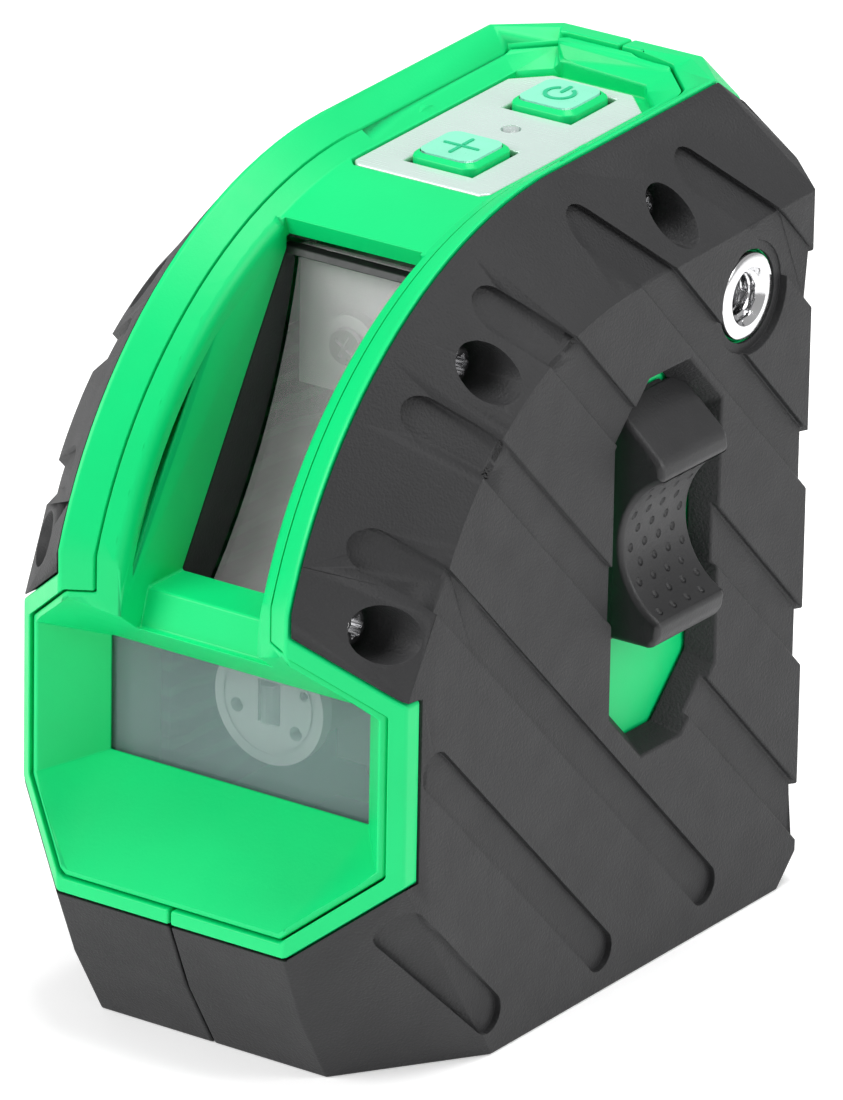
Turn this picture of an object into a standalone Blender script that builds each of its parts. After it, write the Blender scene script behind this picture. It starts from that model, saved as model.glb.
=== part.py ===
"""Self-levelling cross-line laser level: two rubber-clad half shells around a green fascia with two
windows, a gimballed pendulum with two line modules, a side lock knob, a keypad and a battery bay.

X runs to the right across the body, Y from the front to the back, Z up. The pieces are modelled
around the body's middle plane, and the last step moves them sideways so that the origin is at the
middle of the whole object's footprint, knob included."""

import math

import bmesh
import bpy
from mathutils import Matrix, Vector

MM = 0.001
GAP = 0.3 * MM            # between pieces that touch or rest on each other

# Outer form. "Back" is a distance behind the front plane, "high" a height above the base.
HALF_WIDTH = 31.5 * MM    # to the flat side faces
RIM_HALF = 18.45 * MM     # half width of the central green band
DEPTH = 104.7 * MM
CREST_HIGH = 113.5 * MM   # top of the band's arc
CREST_RISE = 1.5 * MM     # the flat top climbs by this much to the rear
ARC_RADIUS = 64.0 * MM
ARC_START_HIGH = 68.9 * MM
ARC_FACETS = 24
BEVEL_DROP = 14.5 * MM    # from the band down to the flat sides, measured across the outline
SIDE_FRONT_BACK = 15.0 * MM
SIDE_REAR_SHY = 2.4 * MM  # the flat sides end this much before the rear plane
REAR_FLAT_HALF = 27.0 * MM
RIM_END_SHY = 7.7 * MM    # the band's rear corners are cut off over this length
RIM_END_HALF = 11.0 * MM
RIM_TALL = 3.2 * MM       # height of the green rim on the rear

# Hexagonal front and chin
HEX_HALF = 31.0 * MM
HEX_BACK = 9.3 * MM
HEX_FOOT_HIGH = 20.6 * MM
HEX_LOW_HIGH = 30.8 * MM
HEX_TOP_HIGH = 56.2 * MM
HEX_SHOULDER_HIGH = 65.8 * MM
CHIN_BACK = 10.3 * MM
CHIN_BULGE = 0.9 * MM
BASE_SIDE_BACK = 29.5 * MM
HEEL = 4.4 * MM

# Walls
SKIN = 1.7 * MM
WALL = 2.0 * MM
SHELL_INSET = SKIN + GAP
CAVITY_INSET = SHELL_INSET + WALL

# Fascia
FASCIA_HALF = 14.0 * MM
FASCIA_SHY = 0.6 * MM     # the fascia's face lies this much below the enclosure's form
FASCIA_LIP = 2.4 * MM     # width of green rim around the hexagon
CREST_FLAT = 0.5 * MM     # flat top of the band's outer edge, before it slopes into the valley
VALLEY_HALF = 11.6 * MM   # half width of the valley's floor
VALLEY_DEEP = 4.0 * MM
VALLEY_FOOT = 9.0 * MM    # straight stretch of the valley below the arc
VALLEY_REAR_SHY = 8.0 * MM    # the floor ends this much before the rear plane
VALLEY_CORNER = 4.0 * MM      # cut off the floor's rear corners
FASCIA_WALL = 2.2 * MM
POCKET_LIP = 0.8 * MM     # flat edge of the fascia around the low pocket
OVERLAP = 0.25 * MM       # how far shapes joined into one piece reach past a shared face
CUT_PAST = 2.0 * MM       # how far a cutter reaches past the face it opens
FASCIA_END_SHY = 3.6 * MM
WINDOW_HALF = 21.0 * MM
WINDOW_LOW_HIGH = 35.2 * MM
WINDOW_TOP_HIGH = 51.6 * MM
POCKET_BACK = 15.3 * MM
RECESS_HALF = 11.0 * MM
FRAME_CHEEK = 1.2 * MM    # side walls of the black frame behind the recess
RECESS_LOW_HIGH = 62.6 * MM
CROSS_BAR_HIGH = 57.6 * MM    # front edge of the bar between the two windows
CROSS_BAR_BACK = (8.2 * MM, 9.8 * MM)     # the bar's front face: low end, top end
RECESS_TOP_BACK = 39.3 * MM
RECESS_TOP_HIGH = 106.2 * MM
RECESS_HEAD_HIGH = 102.5 * MM
GLASS = 1.5 * MM
GLASS_LOW = (21.6 * MM, 56.5 * MM)    # ends of the tall window's front face: back, high
GLASS_TOP = (42.7 * MM, 101.2 * MM)
GLASS_HOLLOW = 3.5 * MM

# Keypad, in the plane of the flat top
PLATE_DEEP = 4.1 * MM     # plate's top below the band
PLATE_THICK = 1.2 * MM
PLATE_HALF = 11.0 * MM
PLATE_START = -7.0 * MM   # measured along the flat top from where the arc ends
PLATE_LENGTH = 41.0 * MM
PLATE_NICK = 1.0 * MM     # cut off the plate's front corners
PLATE_CORNER = 4.5 * MM   # cut off the plate's rear corners
BUTTON_SIZE = 10.5 * MM
BUTTON_TALL = 1.1 * MM
BUTTON_TRAVEL = 0.8 * MM
BUTTON_CORNER = 2.2 * MM  # corner radius
BUTTON_BEVEL = 0.7 * MM
BUTTON_STEM_RADIUS = 2.0 * MM
POWER_ALONG = 26.0 * MM
MODE_ALONG = 3.0 * MM
LED_ALONG = 14.5 * MM
LED_RADIUS = 1.1 * MM
BOARD = 1.6 * MM
BOARD_DROP = 3.4 * MM     # from the plate's top to the keypad board
TRAY_REAR_ROOM = 2.2 * MM # free stretch of the tray behind the plate

# Lock
SLOT_FRONT_BACK = 55.5 * MM
SLOT_WIDE = 25.3 * MM
SLOT_LOW_HIGH = 31.4 * MM
SLOT_TOP_HIGH = 85.5 * MM
SLOT_CHAMFER = 7.8 * MM
SLOT_SLOPE = 2.2 * MM     # the slot narrows by this much on every side down to its floor
LINING = 0.7 * MM         # rubber wall in the slot and in the screw bores
PAN_OUT = 27.2 * MM       # outer face of the green floor in the slot
PAN_THICK = 2.6 * MM
KNOB_WIDE = 16.0 * MM
KNOB_OUT = 36.0 * MM
KNOB_SCOOP = 6.4 * MM
KNOB_LONG = 33.7 * MM
KNOB_LIP = 4.0 * MM
KNOB_TRAVEL = 9.0 * MM
NECK_WIDE = 5.0 * MM
NECK_LONG = 10.0 * MM
NECK_SCREW_RADIUS = 1.2 * MM
PLUNGER_TRAVEL = 3.0 * MM
PLUNGER_HIGH = 79.0 * MM
PLUNGER_SIDE = 4.0 * MM
PIN_RADIUS = 1.2 * MM
WEB_THICK = 2.7 * MM
SHOE_THICK = 3.2 * MM

# Thread bushes, 1/4 in-20
THREAD_RADIUS = 3.2 * MM
BUSH_RADIUS = 6.2 * MM
BUSH_LONG = 9.5 * MM
BUSH_RECESS_RADIUS = 7.8 * MM
BUSH_RECESS_DEEP = 1.2 * MM
BUSH_SHY = 0.9 * MM
SIDE_BUSH_BACK = 88.0 * MM
SIDE_BUSH_HIGH = 89.5 * MM
BASE_BUSH_SHY = 0.2 * MM

# Case screws: back, high
SCREW_PLACES = ((9.1 * MM, 65.6 * MM), (31.7 * MM, 94.9 * MM), (74.0 * MM, 104.3 * MM))
SCREW_BORE_RADIUS = 3.8 * MM
SCREW_SEAT = 20.6 * MM    # from the middle plane to the seats under the heads
SCREW_LUG_RADIUS = 3.2 * MM
BOSS_WALL = 1.0 * MM
SCREW_HEAD_RADIUS = 2.8 * MM
SCREW_HEAD_TALL = 1.9 * MM
SCREW_SHANK_RADIUS = 1.4 * MM

# Gimbal and pendulum
GIMBAL_BACK = 60.0 * MM
GIMBAL_HIGH = 88.5 * MM
RING_HALF_X = 12.0 * MM
RING_AIR = 1.0 * MM       # between the ring and the bracket's plates
RING_BAR = 2.5 * MM
RING_TALL = 5.0 * MM
PIVOT_RADIUS = 1.3 * MM
HEAD_HALF = 4.5 * MM
HEAD_TALL = 8.0 * MM
BRAKE_RADIUS = 16.0 * MM
BRAKE_TOP_DROP = 6.5 * MM
BRAKE_TALL = 6.0 * MM
BRAKE_HALF_Y = 9.5 * MM
BLOCK_HALF = 9.5 * MM
BLOCK_FRONT_BACK = 51.0 * MM
BLOCK_DEEP = 22.5 * MM
BLOCK_LOW_HIGH = 25.0 * MM
BLOCK_TOP_HIGH = 73.0 * MM
LOW_LASER_HIGH = 45.0 * MM
LOW_LASER_RADIUS = 7.2 * MM
LOW_LASER_FRONT_BACK = 24.2 * MM
FACE_RADIUS = 8.8 * MM
FACE_THICK = 2.0 * MM
HIGH_LASER_HIGH = 64.5 * MM
HIGH_LASER_RADIUS = 5.6 * MM
HIGH_LASER_FRONT_BACK = 40.0 * MM
LENS_RADIUS = 1.5 * MM
FRAME_PLATE = 2.0 * MM
FRAME_HALF = 13.0 * MM
FRAME_FRONT_BACK = 46.0 * MM
FRAME_LOW_HIGH = 80.0 * MM
FRAME_TOP_HIGH = 98.5 * MM
BOSS_RADIUS = 4.2 * MM
BOSS_SIDE = -3.6 * MM
BOSS_HIGH = 87.8 * MM
BOSS_FRONT_BACK = 44.2 * MM
DAMPER_RADIUS = 9.0 * MM
DAMPER_THICK = 2.0 * MM
MAGNET_RADIUS = 8.0 * MM
MAGNET_TALL = 6.0 * MM
MAGNET_AIR = 3.2 * MM
HOLDER_THICK = 2.0 * MM
HOLDER_HALF = 4.0 * MM    # half width of the magnet's bridge
HOLDER_LEG = 3.0 * MM

# Battery bay: three AA cells side by side
CELL_RADIUS = 7.25 * MM
CELL_LONG = 50.5 * MM
CELL_PITCH = 15.2 * MM
CELL_CAP_RADIUS = 2.7 * MM
CELL_CAP_TALL = 1.2 * MM
TRAY_WALL = 1.3 * MM
STRIP = 0.5 * MM          # thickness of the contact strips
STRIP_HALF = 3.0 * MM
CONE_TIP_RADIUS = 1.6 * MM
SPRING_ROOM = 2.0 * MM
CELL_LOW_HIGH = CAVITY_INSET + GAP + TRAY_WALL + SPRING_ROOM + 2 * STRIP
DOOR_HALF = 23.7 * MM
DOOR_LOW_HIGH = 5.4 * MM
DOOR_TOP_HIGH = 61.5 * MM
DOOR_THICK = 3.6 * MM
DOOR_PIN_RADIUS = 0.9 * MM

FRONT = -DEPTH / 2
REAR = DEPTH / 2
FAR = 150 * MM            # beyond the body in every direction
MID_HIGH = 16 * MM        # above the base bush, below everything that hangs over it


def back(distance):
    """Y of a place this far behind the front plane."""
    return FRONT + distance


ARC_HIGH = CREST_HIGH - ARC_RADIUS
ARC_Y = back(math.sqrt(ARC_RADIUS**2 - (ARC_START_HIGH - ARC_HIGH) ** 2))
BAND_END_Y = REAR - RIM_END_SHY
CREST_SLOPE = math.atan2(CREST_RISE, BAND_END_Y - ARC_Y)
BEVEL_TILT = math.atan2(BEVEL_DROP, HALF_WIDTH - RIM_HALF)
GIMBAL = Vector((0, back(GIMBAL_BACK), GIMBAL_HIGH))
RING_HALF_Y = (GIMBAL_BACK - FRAME_FRONT_BACK) - FRAME_PLATE - RING_AIR
LUG_IN = RECESS_HALF + FRAME_CHEEK + GAP


# Materials

def material(name, colour, roughness, metallic=0.0, alpha=1.0):
    made = bpy.data.materials.new(name)
    made.use_nodes = True
    shader = made.node_tree.nodes["Principled BSDF"]
    shader.inputs["Base Color"].default_value = (*colour, 1)
    shader.inputs["Roughness"].default_value = roughness
    shader.inputs["Metallic"].default_value = metallic
    shader.inputs["Alpha"].default_value = alpha
    made.diffuse_color = (*colour, alpha)
    return made


def materials():
    return {
        "green": material("green_plastic", (0.0, 0.72, 0.18), 0.42),
        "rubber": material("black_rubber", (0.045, 0.045, 0.048), 0.75),
        "black": material("black_plastic", (0.02, 0.02, 0.022), 0.5),
        "window": material("window_glass", (0.55, 0.62, 0.6), 0.05, 0.0, 0.4),
        "plate": material("keypad_plate", (0.75, 0.82, 0.78), 0.25, 0.3),
        "cap": material("button_cap", (0.45, 0.9, 0.7), 0.35),
        "chrome": material("chrome", (0.8, 0.8, 0.8), 0.12, 1.0),
        "steel": material("steel", (0.55, 0.55, 0.56), 0.3, 1.0),
        "casting": material("grey_casting", (0.45, 0.45, 0.47), 0.45, 0.8),
        "brass": material("brass", (0.75, 0.55, 0.22), 0.3, 1.0),
        "copper": material("copper", (0.8, 0.42, 0.28), 0.35, 1.0),
        "magnet": material("magnet", (0.3, 0.3, 0.32), 0.3, 1.0),
        "board": material("board", (0.02, 0.2, 0.08), 0.5),
        "cell": material("cell_sleeve", (0.1, 0.12, 0.2), 0.35),
    }


# Solids

def hull(points):
    """Convex solid around the points."""
    solid = bmesh.new()
    for point in points:
        solid.verts.new(point)
    found = bmesh.ops.convex_hull(solid, input=solid.verts)
    unused = {item for key in ("geom_interior", "geom_unused") for item in found[key]}
    bmesh.ops.delete(solid, geom=[v for v in unused if isinstance(v, bmesh.types.BMVert)])
    bmesh.ops.dissolve_limit(
        solid, angle_limit=math.radians(0.05), verts=solid.verts, edges=solid.edges
    )
    bmesh.ops.recalc_face_normals(solid, faces=solid.faces)
    return solid


def prism(outline, axis, low, high):
    """Outline of (first, second) pairs extruded along an axis. The pairs are (y, z) for X,
    (x, z) for Y and (x, y) for Z."""
    places = {"X": (1, 2, 0), "Y": (0, 2, 1), "Z": (0, 1, 2)}[axis]
    solid = bmesh.new()
    rings = []
    for level in (low, high):
        ring = []
        for first, second in outline:
            point = [0.0, 0.0, 0.0]
            point[places[0]], point[places[1]], point[places[2]] = first, second, level
            ring.append(solid.verts.new(point))
        rings.append(ring)
    for ring in rings:
        solid.faces.new(ring)
    count = len(outline)
    for i in range(count):
        j = (i + 1) % count
        solid.faces.new((rings[0][i], rings[0][j], rings[1][j], rings[1][i]))
    bmesh.ops.recalc_face_normals(solid, faces=solid.faces)
    return solid


def loft(rings):
    """Solid through rings of equally many points, capped at both ends."""
    solid = bmesh.new()
    rows = [[solid.verts.new(point) for point in ring] for ring in rings]
    solid.faces.new(rows[0])
    solid.faces.new(rows[-1])
    for low, high in zip(rows, rows[1:]):
        for i in range(len(low)):
            j = (i + 1) % len(low)
            solid.faces.new((low[i], low[j], high[j], high[i]))
    bmesh.ops.recalc_face_normals(solid, faces=solid.faces)
    return solid


def box(low, high):
    outline = [(low[0], low[1]), (high[0], low[1]), (high[0], high[1]), (low[0], high[1])]
    return prism(outline, "Z", low[2], high[2])


def circle(radius, centre=(0.0, 0.0), sides=32):
    turns = [2 * math.pi * (i + 0.5) / sides for i in range(sides)]
    return [(centre[0] + radius * math.cos(t), centre[1] + radius * math.sin(t)) for t in turns]


def rod(axis, centre, radius, low, high, sides=32):
    return prism(circle(radius, centre, sides), axis, low, high)


def turned(profile, sides=32):
    """Solid turned around Z from (radius, height) pairs that start and end on the axis."""
    solid = bmesh.new()
    verts = [solid.verts.new((r, 0, z)) for r, z in profile]
    edges = [solid.edges.new(pair) for pair in zip(verts, verts[1:])]
    bmesh.ops.spin(
        solid, geom=verts + edges, cent=(0, 0, 0), axis=(0, 0, 1),
        angle=2 * math.pi, steps=sides, use_merge=True,
    )
    bmesh.ops.remove_doubles(solid, verts=solid.verts, dist=1e-7)
    bmesh.ops.recalc_face_normals(solid, faces=solid.faces)
    return solid


def ball(radius, centre, rings=24):
    solid = bmesh.new()
    bmesh.ops.create_uvsphere(solid, u_segments=2 * rings, v_segments=rings, radius=radius)
    solid.transform(Matrix.Translation(centre))
    return solid


def mirrored(outline):
    """The outline's right half completed by its mirror image in the first coordinate."""
    return outline + [(-first, second) for first, second in reversed(outline)]


# Objects

def make(name, solid, finish, pivot=(0, 0, 0), parent=None):
    """Object with its origin at pivot. The solid is given in world coordinates, or in the
    parent's coordinates where there is a parent."""
    pivot = Vector(pivot)
    solid.transform(Matrix.Translation(-pivot))
    mesh = bpy.data.meshes.new(name)
    solid.to_mesh(mesh)
    solid.free()
    mesh.materials.append(finish)
    mesh.shade_smooth()
    mesh.set_sharp_from_angle(angle=math.radians(28))
    made = bpy.data.objects.new(name, mesh)
    made.location = pivot
    made.parent = parent
    bpy.context.scene.collection.objects.link(made)
    return made


def helper(target, solid, kind):
    """Hidden object for a Boolean on the target, in the target's parent's coordinates."""
    name = f"{target.name}_{kind}_{len(target.modifiers)}"
    mesh = bpy.data.meshes.new(name)
    solid.to_mesh(mesh)
    solid.free()
    made = bpy.data.objects.new(name, mesh)
    made.hide_render = True
    made.display_type = "WIRE"
    made.parent = target.parent
    bpy.context.scene.collection.objects.link(made)
    return made


def boolean(target, solid, operation):
    modifier = target.modifiers.new(operation.lower(), "BOOLEAN")
    modifier.operation = operation
    modifier.solver = "EXACT"
    modifier.object = helper(target, solid, operation.lower())


def cut(target, *solids):
    for solid in solids:
        boolean(target, solid, "DIFFERENCE")


def join(target, *solids):
    for solid in solids:
        boolean(target, solid, "UNION")


def keep(target, solid):
    boolean(target, solid, "INTERSECT")


def guide(target, word, solid):
    """Hidden object that can take Booleans of its own before it is used on the target."""
    made = make(f"{target.name}_{word}", solid, target.data.materials[0])
    made.hide_render = True
    made.display_type = "WIRE"
    return made


def combine(target, other, operation):
    """Boolean of the target with another object, that object's own Booleans included."""
    modifier = target.modifiers.new(operation.lower(), "BOOLEAN")
    modifier.operation = operation
    modifier.solver = "EXACT"
    modifier.object = other


def keep_any(target, solids):
    """Keep only what lies in any of the solids."""
    group = guide(target, "group", solids[0])
    join(group, *solids[1:])
    combine(target, group, "INTERSECT")


# Outer form

def arc_points(inset):
    """Band's arc from its start at the front to the crest, as (y, z)."""
    radius = ARC_RADIUS - inset
    start = math.asin((ARC_START_HIGH - ARC_HIGH) / ARC_RADIUS)
    turns = [start + (math.pi / 2 - start) * i / ARC_FACETS for i in range(ARC_FACETS + 1)]
    return [(ARC_Y - radius * math.cos(t), ARC_HIGH + radius * math.sin(t)) for t in turns]


def crest_z(y, inset):
    """Height of the flat top above a place behind the arc."""
    return CREST_HIGH - inset + (y - ARC_Y) * math.tan(CREST_SLOPE)


def rim_points(inset):
    """Outline (y, z) of the central band."""
    chin_y, chin_z = back(CHIN_BACK / 2 - CHIN_BULGE + inset), HEX_FOOT_HIGH / 2
    return [
        (back(CHIN_BACK + 0.6 * inset), inset), (chin_y, chin_z), (back(inset), HEX_FOOT_HIGH),
        *arc_points(inset), (BAND_END_Y - 0.5 * inset, crest_z(BAND_END_Y, inset)),
    ]


def side_points(inset):
    """Outline (y, z) of the flat sides. Its bevelled stretches move by bevel_inset, so that the
    bevel itself moves by inset."""
    bevel_inset = inset * math.tan((math.pi / 2 - BEVEL_TILT) / 2)
    drop = BEVEL_DROP + bevel_inset
    rear = REAR - SIDE_REAR_SHY - inset
    front = back(SIDE_FRONT_BACK + bevel_inset)
    arc = [(y, z) for y, z in arc_points(drop) if y > front]
    rise = ARC_HIGH + math.sqrt((ARC_RADIUS - drop) ** 2 - (ARC_Y - front) ** 2)
    return [
        (back(BASE_SIDE_BACK + 0.6 * inset), inset), (front, HEX_LOW_HIGH - 5 * MM), (front, rise),
        *arc, (rear, crest_z(REAR, drop)), (rear, HEEL + 0.4 * inset), (rear - HEEL, inset),
    ]


def form(inset):
    """The enclosure's outer form, with every face moved inwards by inset."""
    rim_x = RIM_HALF - inset * math.tan(BEVEL_TILT / 2)
    side_x = HALF_WIDTH - inset
    hex_x = HEX_HALF - inset
    hex_y = back(HEX_BACK + 0.5 * inset)
    rear_x = REAR_FLAT_HALF - 0.3 * inset
    end_x = RIM_END_HALF - 0.4 * inset
    rear = REAR - inset
    points = []
    for side in (-1, 1):
        points += [(side * rim_x, y, z) for y, z in rim_points(inset)]
        points += [(side * side_x, y, z) for y, z in side_points(inset)]
        points += [
            (side * hex_x, hex_y, HEX_LOW_HIGH), (side * hex_x, hex_y, HEX_TOP_HIGH),
            (side * end_x, rear, crest_z(REAR, inset) - 0.6 * MM),
            (side * rear_x, rear, HEEL), (side * rear_x, rear - HEEL, inset),
            (side * rear_x, rear, crest_z(REAR, inset) - BEVEL_DROP + 2.6 * MM),
        ]
    return hull(points)


def front_hexagon(lip):
    """Right half of the front hexagon's outline (x, z), inside its edge by lip."""
    return [
        (RIM_HALF - 0.4 * lip, HEX_FOOT_HIGH + lip), (HEX_HALF - lip, HEX_LOW_HIGH + 0.6 * lip),
        (HEX_HALF - lip, HEX_TOP_HIGH - 0.6 * lip), (RIM_HALF - 0.4 * lip, HEX_SHOULDER_HIGH - lip),
    ]


def band_zone(grow):
    """Where the central green band shows, on the front, the arc and the top."""
    half = RIM_HALF + grow
    deep = 12 * MM
    rim_foot = CREST_HIGH - RIM_TALL - grow
    outline = [
        (FRONT - FAR, HEX_FOOT_HIGH - grow), (FRONT - FAR, FAR), (FAR, FAR), (FAR, rim_foot),
        (BAND_END_Y, rim_foot), (ARC_Y, ARC_HIGH + deep), (back(deep), HEX_FOOT_HIGH - grow),
    ]
    return prism(outline, "X", -half, half)


def hexagon_zone(grow):
    """Where the green hexagon shows on the front."""
    return prism(mirrored(front_hexagon(-grow)), "Y", FRONT - FAR, back(HEX_BACK + 3 * MM))


def fascia_plan(grow):
    """Right half of the fascia's upper outline seen from above, (x, y)."""
    half = FASCIA_HALF + grow
    end = REAR - FASCIA_END_SHY + grow
    corner = RIM_END_SHY - FASCIA_END_SHY + 1.5 * MM
    return [(half, FRONT - FAR), (half, end - corner), (half - corner, end)]


def fascia_zones(grow):
    """The fascia's place: the hexagon's inside, and the strip up the arc and along the top."""
    yield prism(mirrored(front_hexagon(FASCIA_LIP - grow)), "Y", FRONT - FAR, back(POCKET_BACK + grow))
    foot = HEX_SHOULDER_HIGH - 8 * MM
    yield prism(mirrored(fascia_plan(grow)), "Z", RECESS_HEAD_HIGH - 6 * MM, FAR)
    half = FASCIA_HALF + grow
    yield box((-half, FRONT - FAR, foot), (half, back(RECESS_TOP_BACK + 6 * MM), RECESS_HEAD_HIGH))


# Places along the sides

def slot_outline(grow):
    """Lock slot in the right side, (y, z)."""
    low_y, high_y = back(SLOT_FRONT_BACK) - grow, back(SLOT_FRONT_BACK + SLOT_WIDE) + grow
    low_z, high_z = SLOT_LOW_HIGH - grow, SLOT_TOP_HIGH + grow
    c = SLOT_CHAMFER
    return [
        (low_y + c, low_z), (high_y - c, low_z), (high_y, low_z + c), (high_y, high_z - c),
        (high_y - c, high_z), (low_y + c, high_z), (low_y, high_z - c), (low_y, low_z + c),
    ]


SLOT_MID_Y = back(SLOT_FRONT_BACK + SLOT_WIDE / 2)
KNOB_TOP = SLOT_TOP_HIGH - SLOT_SLOPE - 1.1 * MM
KNOB_LOW = KNOB_TOP - KNOB_LONG
NECK_TOP = KNOB_TOP - KNOB_LONG / 3
DOOR_PIVOT = Vector((0, REAR - DOOR_THICK / 2 - 0.1 * MM, DOOR_LOW_HIGH + DOOR_THICK / 2))
BUSH_PLACE = (back(SIDE_BUSH_BACK), SIDE_BUSH_HIGH)
BASE_BUSH_PLACE = (0.0, back(GIMBAL_BACK))


def side_bores(side, radius, grow):
    """Bores for the case screws through one side."""
    span = sorted((side * (SCREW_SEAT - grow), side * FAR))
    for distance, high in SCREW_PLACES:
        yield rod("X", (back(distance), high), radius, *span)


def shank_holes(side):
    for distance, high in SCREW_PLACES:
        span = sorted((side * (LUG_IN - GAP), side * FAR))
        yield rod("X", (back(distance), high), SCREW_SHANK_RADIUS + GAP, *span, sides=16)


def half_space(side):
    low, high = sorted((side * GAP / 2, side * FAR))
    return box((low, -FAR, -FAR), (high, FAR, FAR))


def door_opening(grow, start):
    half = DOOR_HALF + grow
    return box(
        (-half, start, DOOR_LOW_HIGH - grow), (half, FAR, DOOR_TOP_HIGH + grow)
    )


# Enclosure pieces

def make_overmould(name, side, finish):
    """Rubber skin over one side, half of the chin, base and back, with the linings of the bores
    and of the lock slot."""
    skin = make(name, form(0), finish)
    cut(skin, form(SKIN), band_zone(GAP), hexagon_zone(GAP), door_opening(GAP, 0.0))
    keep(skin, half_space(side))
    linings = guide(skin, "linings", form(0))
    tubes = list(side_bores(side, SCREW_BORE_RADIUS + LINING, 0))
    if side > 0:
        tubes.append(prism(slot_outline(LINING), "X", PAN_OUT + GAP, HALF_WIDTH))
    keep_any(linings, tubes)
    cut(linings, band_zone(GAP))
    combine(skin, linings, "UNION")
    cut(skin, *side_bores(side, SCREW_BORE_RADIUS, GAP))
    cut(skin, rod("Z", BASE_BUSH_PLACE, BUSH_RADIUS + 1.0 * MM, -FAR, MID_HIGH))
    if side > 0:
        cut(skin, slot_cutter())
        cut(skin, rod("X", BUSH_PLACE, BUSH_RECESS_RADIUS, HALF_WIDTH - BUSH_RECESS_DEEP, FAR))
        cut(skin, rod("X", BUSH_PLACE, BUSH_RADIUS + GAP, 0, FAR))
    return skin


def slot_cutter():
    """The lock slot's space, which narrows from the side face down to the pan."""
    mouth = [(HALF_WIDTH, y, z) for y, z in slot_outline(0)]
    floor = [(PAN_OUT - GAP, y, z) for y, z in slot_outline(-SLOT_SLOPE)]
    out = [(HALF_WIDTH + CUT_PAST, y, z) for y, z in slot_outline(0)]
    return hull(mouth + floor + out)


def make_shell(name, side, finish):
    """Green half shell: side wall, rim band, screw bosses and, on the right, the lock's pan."""
    shell = make(name, form(SHELL_INSET), finish)
    for word, zone in (("rim", band_zone(0)), ("hexagon", hexagon_zone(0))):
        strip = guide(shell, word, form(0))
        keep(strip, zone)
        combine(shell, strip, "UNION")
    cut(shell, form(CAVITY_INSET))
    bore = SCREW_BORE_RADIUS + LINING + GAP
    bosses = guide(shell, "bosses", form(SHELL_INSET))
    span = sorted((side * (FASCIA_HALF + GAP), side * (HALF_WIDTH - SKIN)))
    keep_any(bosses, [
        rod("X", (back(distance), high), bore + BOSS_WALL, *span) for distance, high in SCREW_PLACES
    ])
    combine(shell, bosses, "UNION")
    if side > 0:
        pan_rim = HALF_WIDTH - SHELL_INSET - 0.4 * MM
        pan = slot_outline(LINING + GAP + BOSS_WALL)
        join(shell, prism(pan, "X", PAN_OUT - PAN_THICK, pan_rim))
        bush_in = HALF_WIDTH - BUSH_SHY - BUSH_LONG - 1.5 * MM
        boss_out = HALF_WIDTH - CAVITY_INSET + 0.5 * MM
        join(shell, rod("X", BUSH_PLACE, BUSH_RADIUS + 1.8 * MM, bush_in, boss_out))
        cut(shell, prism(slot_outline(LINING + GAP), "X", PAN_OUT, FAR))
        cut(shell, rod("X", BUSH_PLACE, BUSH_RADIUS + GAP, bush_in + 1.2 * MM, FAR))
        cut(shell, neck_slot())
    cut(shell, *fascia_zones(GAP), valley_cutter())
    keep(shell, half_space(side))
    cut(shell, *side_bores(side, bore, 0), *shank_holes(side))
    cut(shell, door_opening(GAP, 0.0))
    cut(shell, rod("Z", BASE_BUSH_PLACE, BUSH_RADIUS + GAP, -FAR, MID_HIGH))
    return shell


def valley_cutter():
    """Space of the valley along the band: a flat floor between slopes that rise to the band's
    outer edges, around the arc and along the flat top to the rear rim."""
    air = -4 * CUT_PAST
    crest = RIM_HALF - CREST_FLAT
    lines = [valley_line(inset) for inset in (VALLEY_DEEP, 0.0, air)]
    rings = []
    for low, edge, out in zip(*lines):
        right = [(VALLEY_HALF, *low), (crest, *edge), (crest, *out)]
        rings.append(right + [(-x, y, z) for x, y, z in reversed(right)])
    rear = REAR - VALLEY_REAR_SHY
    for floor_half, floor_y, edge_half, edge_y in (
        (VALLEY_HALF, rear - VALLEY_CORNER, crest, BAND_END_Y - CREST_FLAT / 2),
        (VALLEY_HALF - VALLEY_CORNER, rear, RIM_END_HALF - CREST_FLAT / 2, REAR - 2 * CREST_FLAT),
    ):
        right = [(floor_half, floor_y, crest_z(floor_y, VALLEY_DEEP))]
        right += [(edge_half, edge_y, crest_z(edge_y, inset)) for inset in (0.0, air)]
        rings.append(right + [(-x, y, z) for x, y, z in reversed(right)])
    return loft(rings)


def valley_line(inset):
    """Side view (y, z) of the valley up the front and around the arc, moved inwards by inset."""
    arc = arc_points(inset)
    return [(arc[0][0], arc[0][1] - VALLEY_FOOT), *arc]


def neck_slot():
    """Slot through the pan for the knob's neck over its whole travel."""
    half = NECK_WIDE / 2 + GAP
    low = NECK_TOP - NECK_LONG - KNOB_TRAVEL - 2 * GAP
    return box(
        (PAN_OUT - PAN_THICK - 1 * MM, SLOT_MID_Y - half, low),
        (PAN_OUT + 1 * MM, SLOT_MID_Y + half, NECK_TOP + 2 * GAP),
    )


def wall_line_y(z):
    """Rear edge of the recess's side walls, a straight line that leans back."""
    start = (POCKET_BACK, RECESS_LOW_HIGH - 3.5 * MM)
    end = (RECESS_TOP_BACK + 1.6 * MM, RECESS_HEAD_HIGH)
    return back(start[0] + (end[0] - start[0]) * (z - start[1]) / (end[1] - start[1]))


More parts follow.
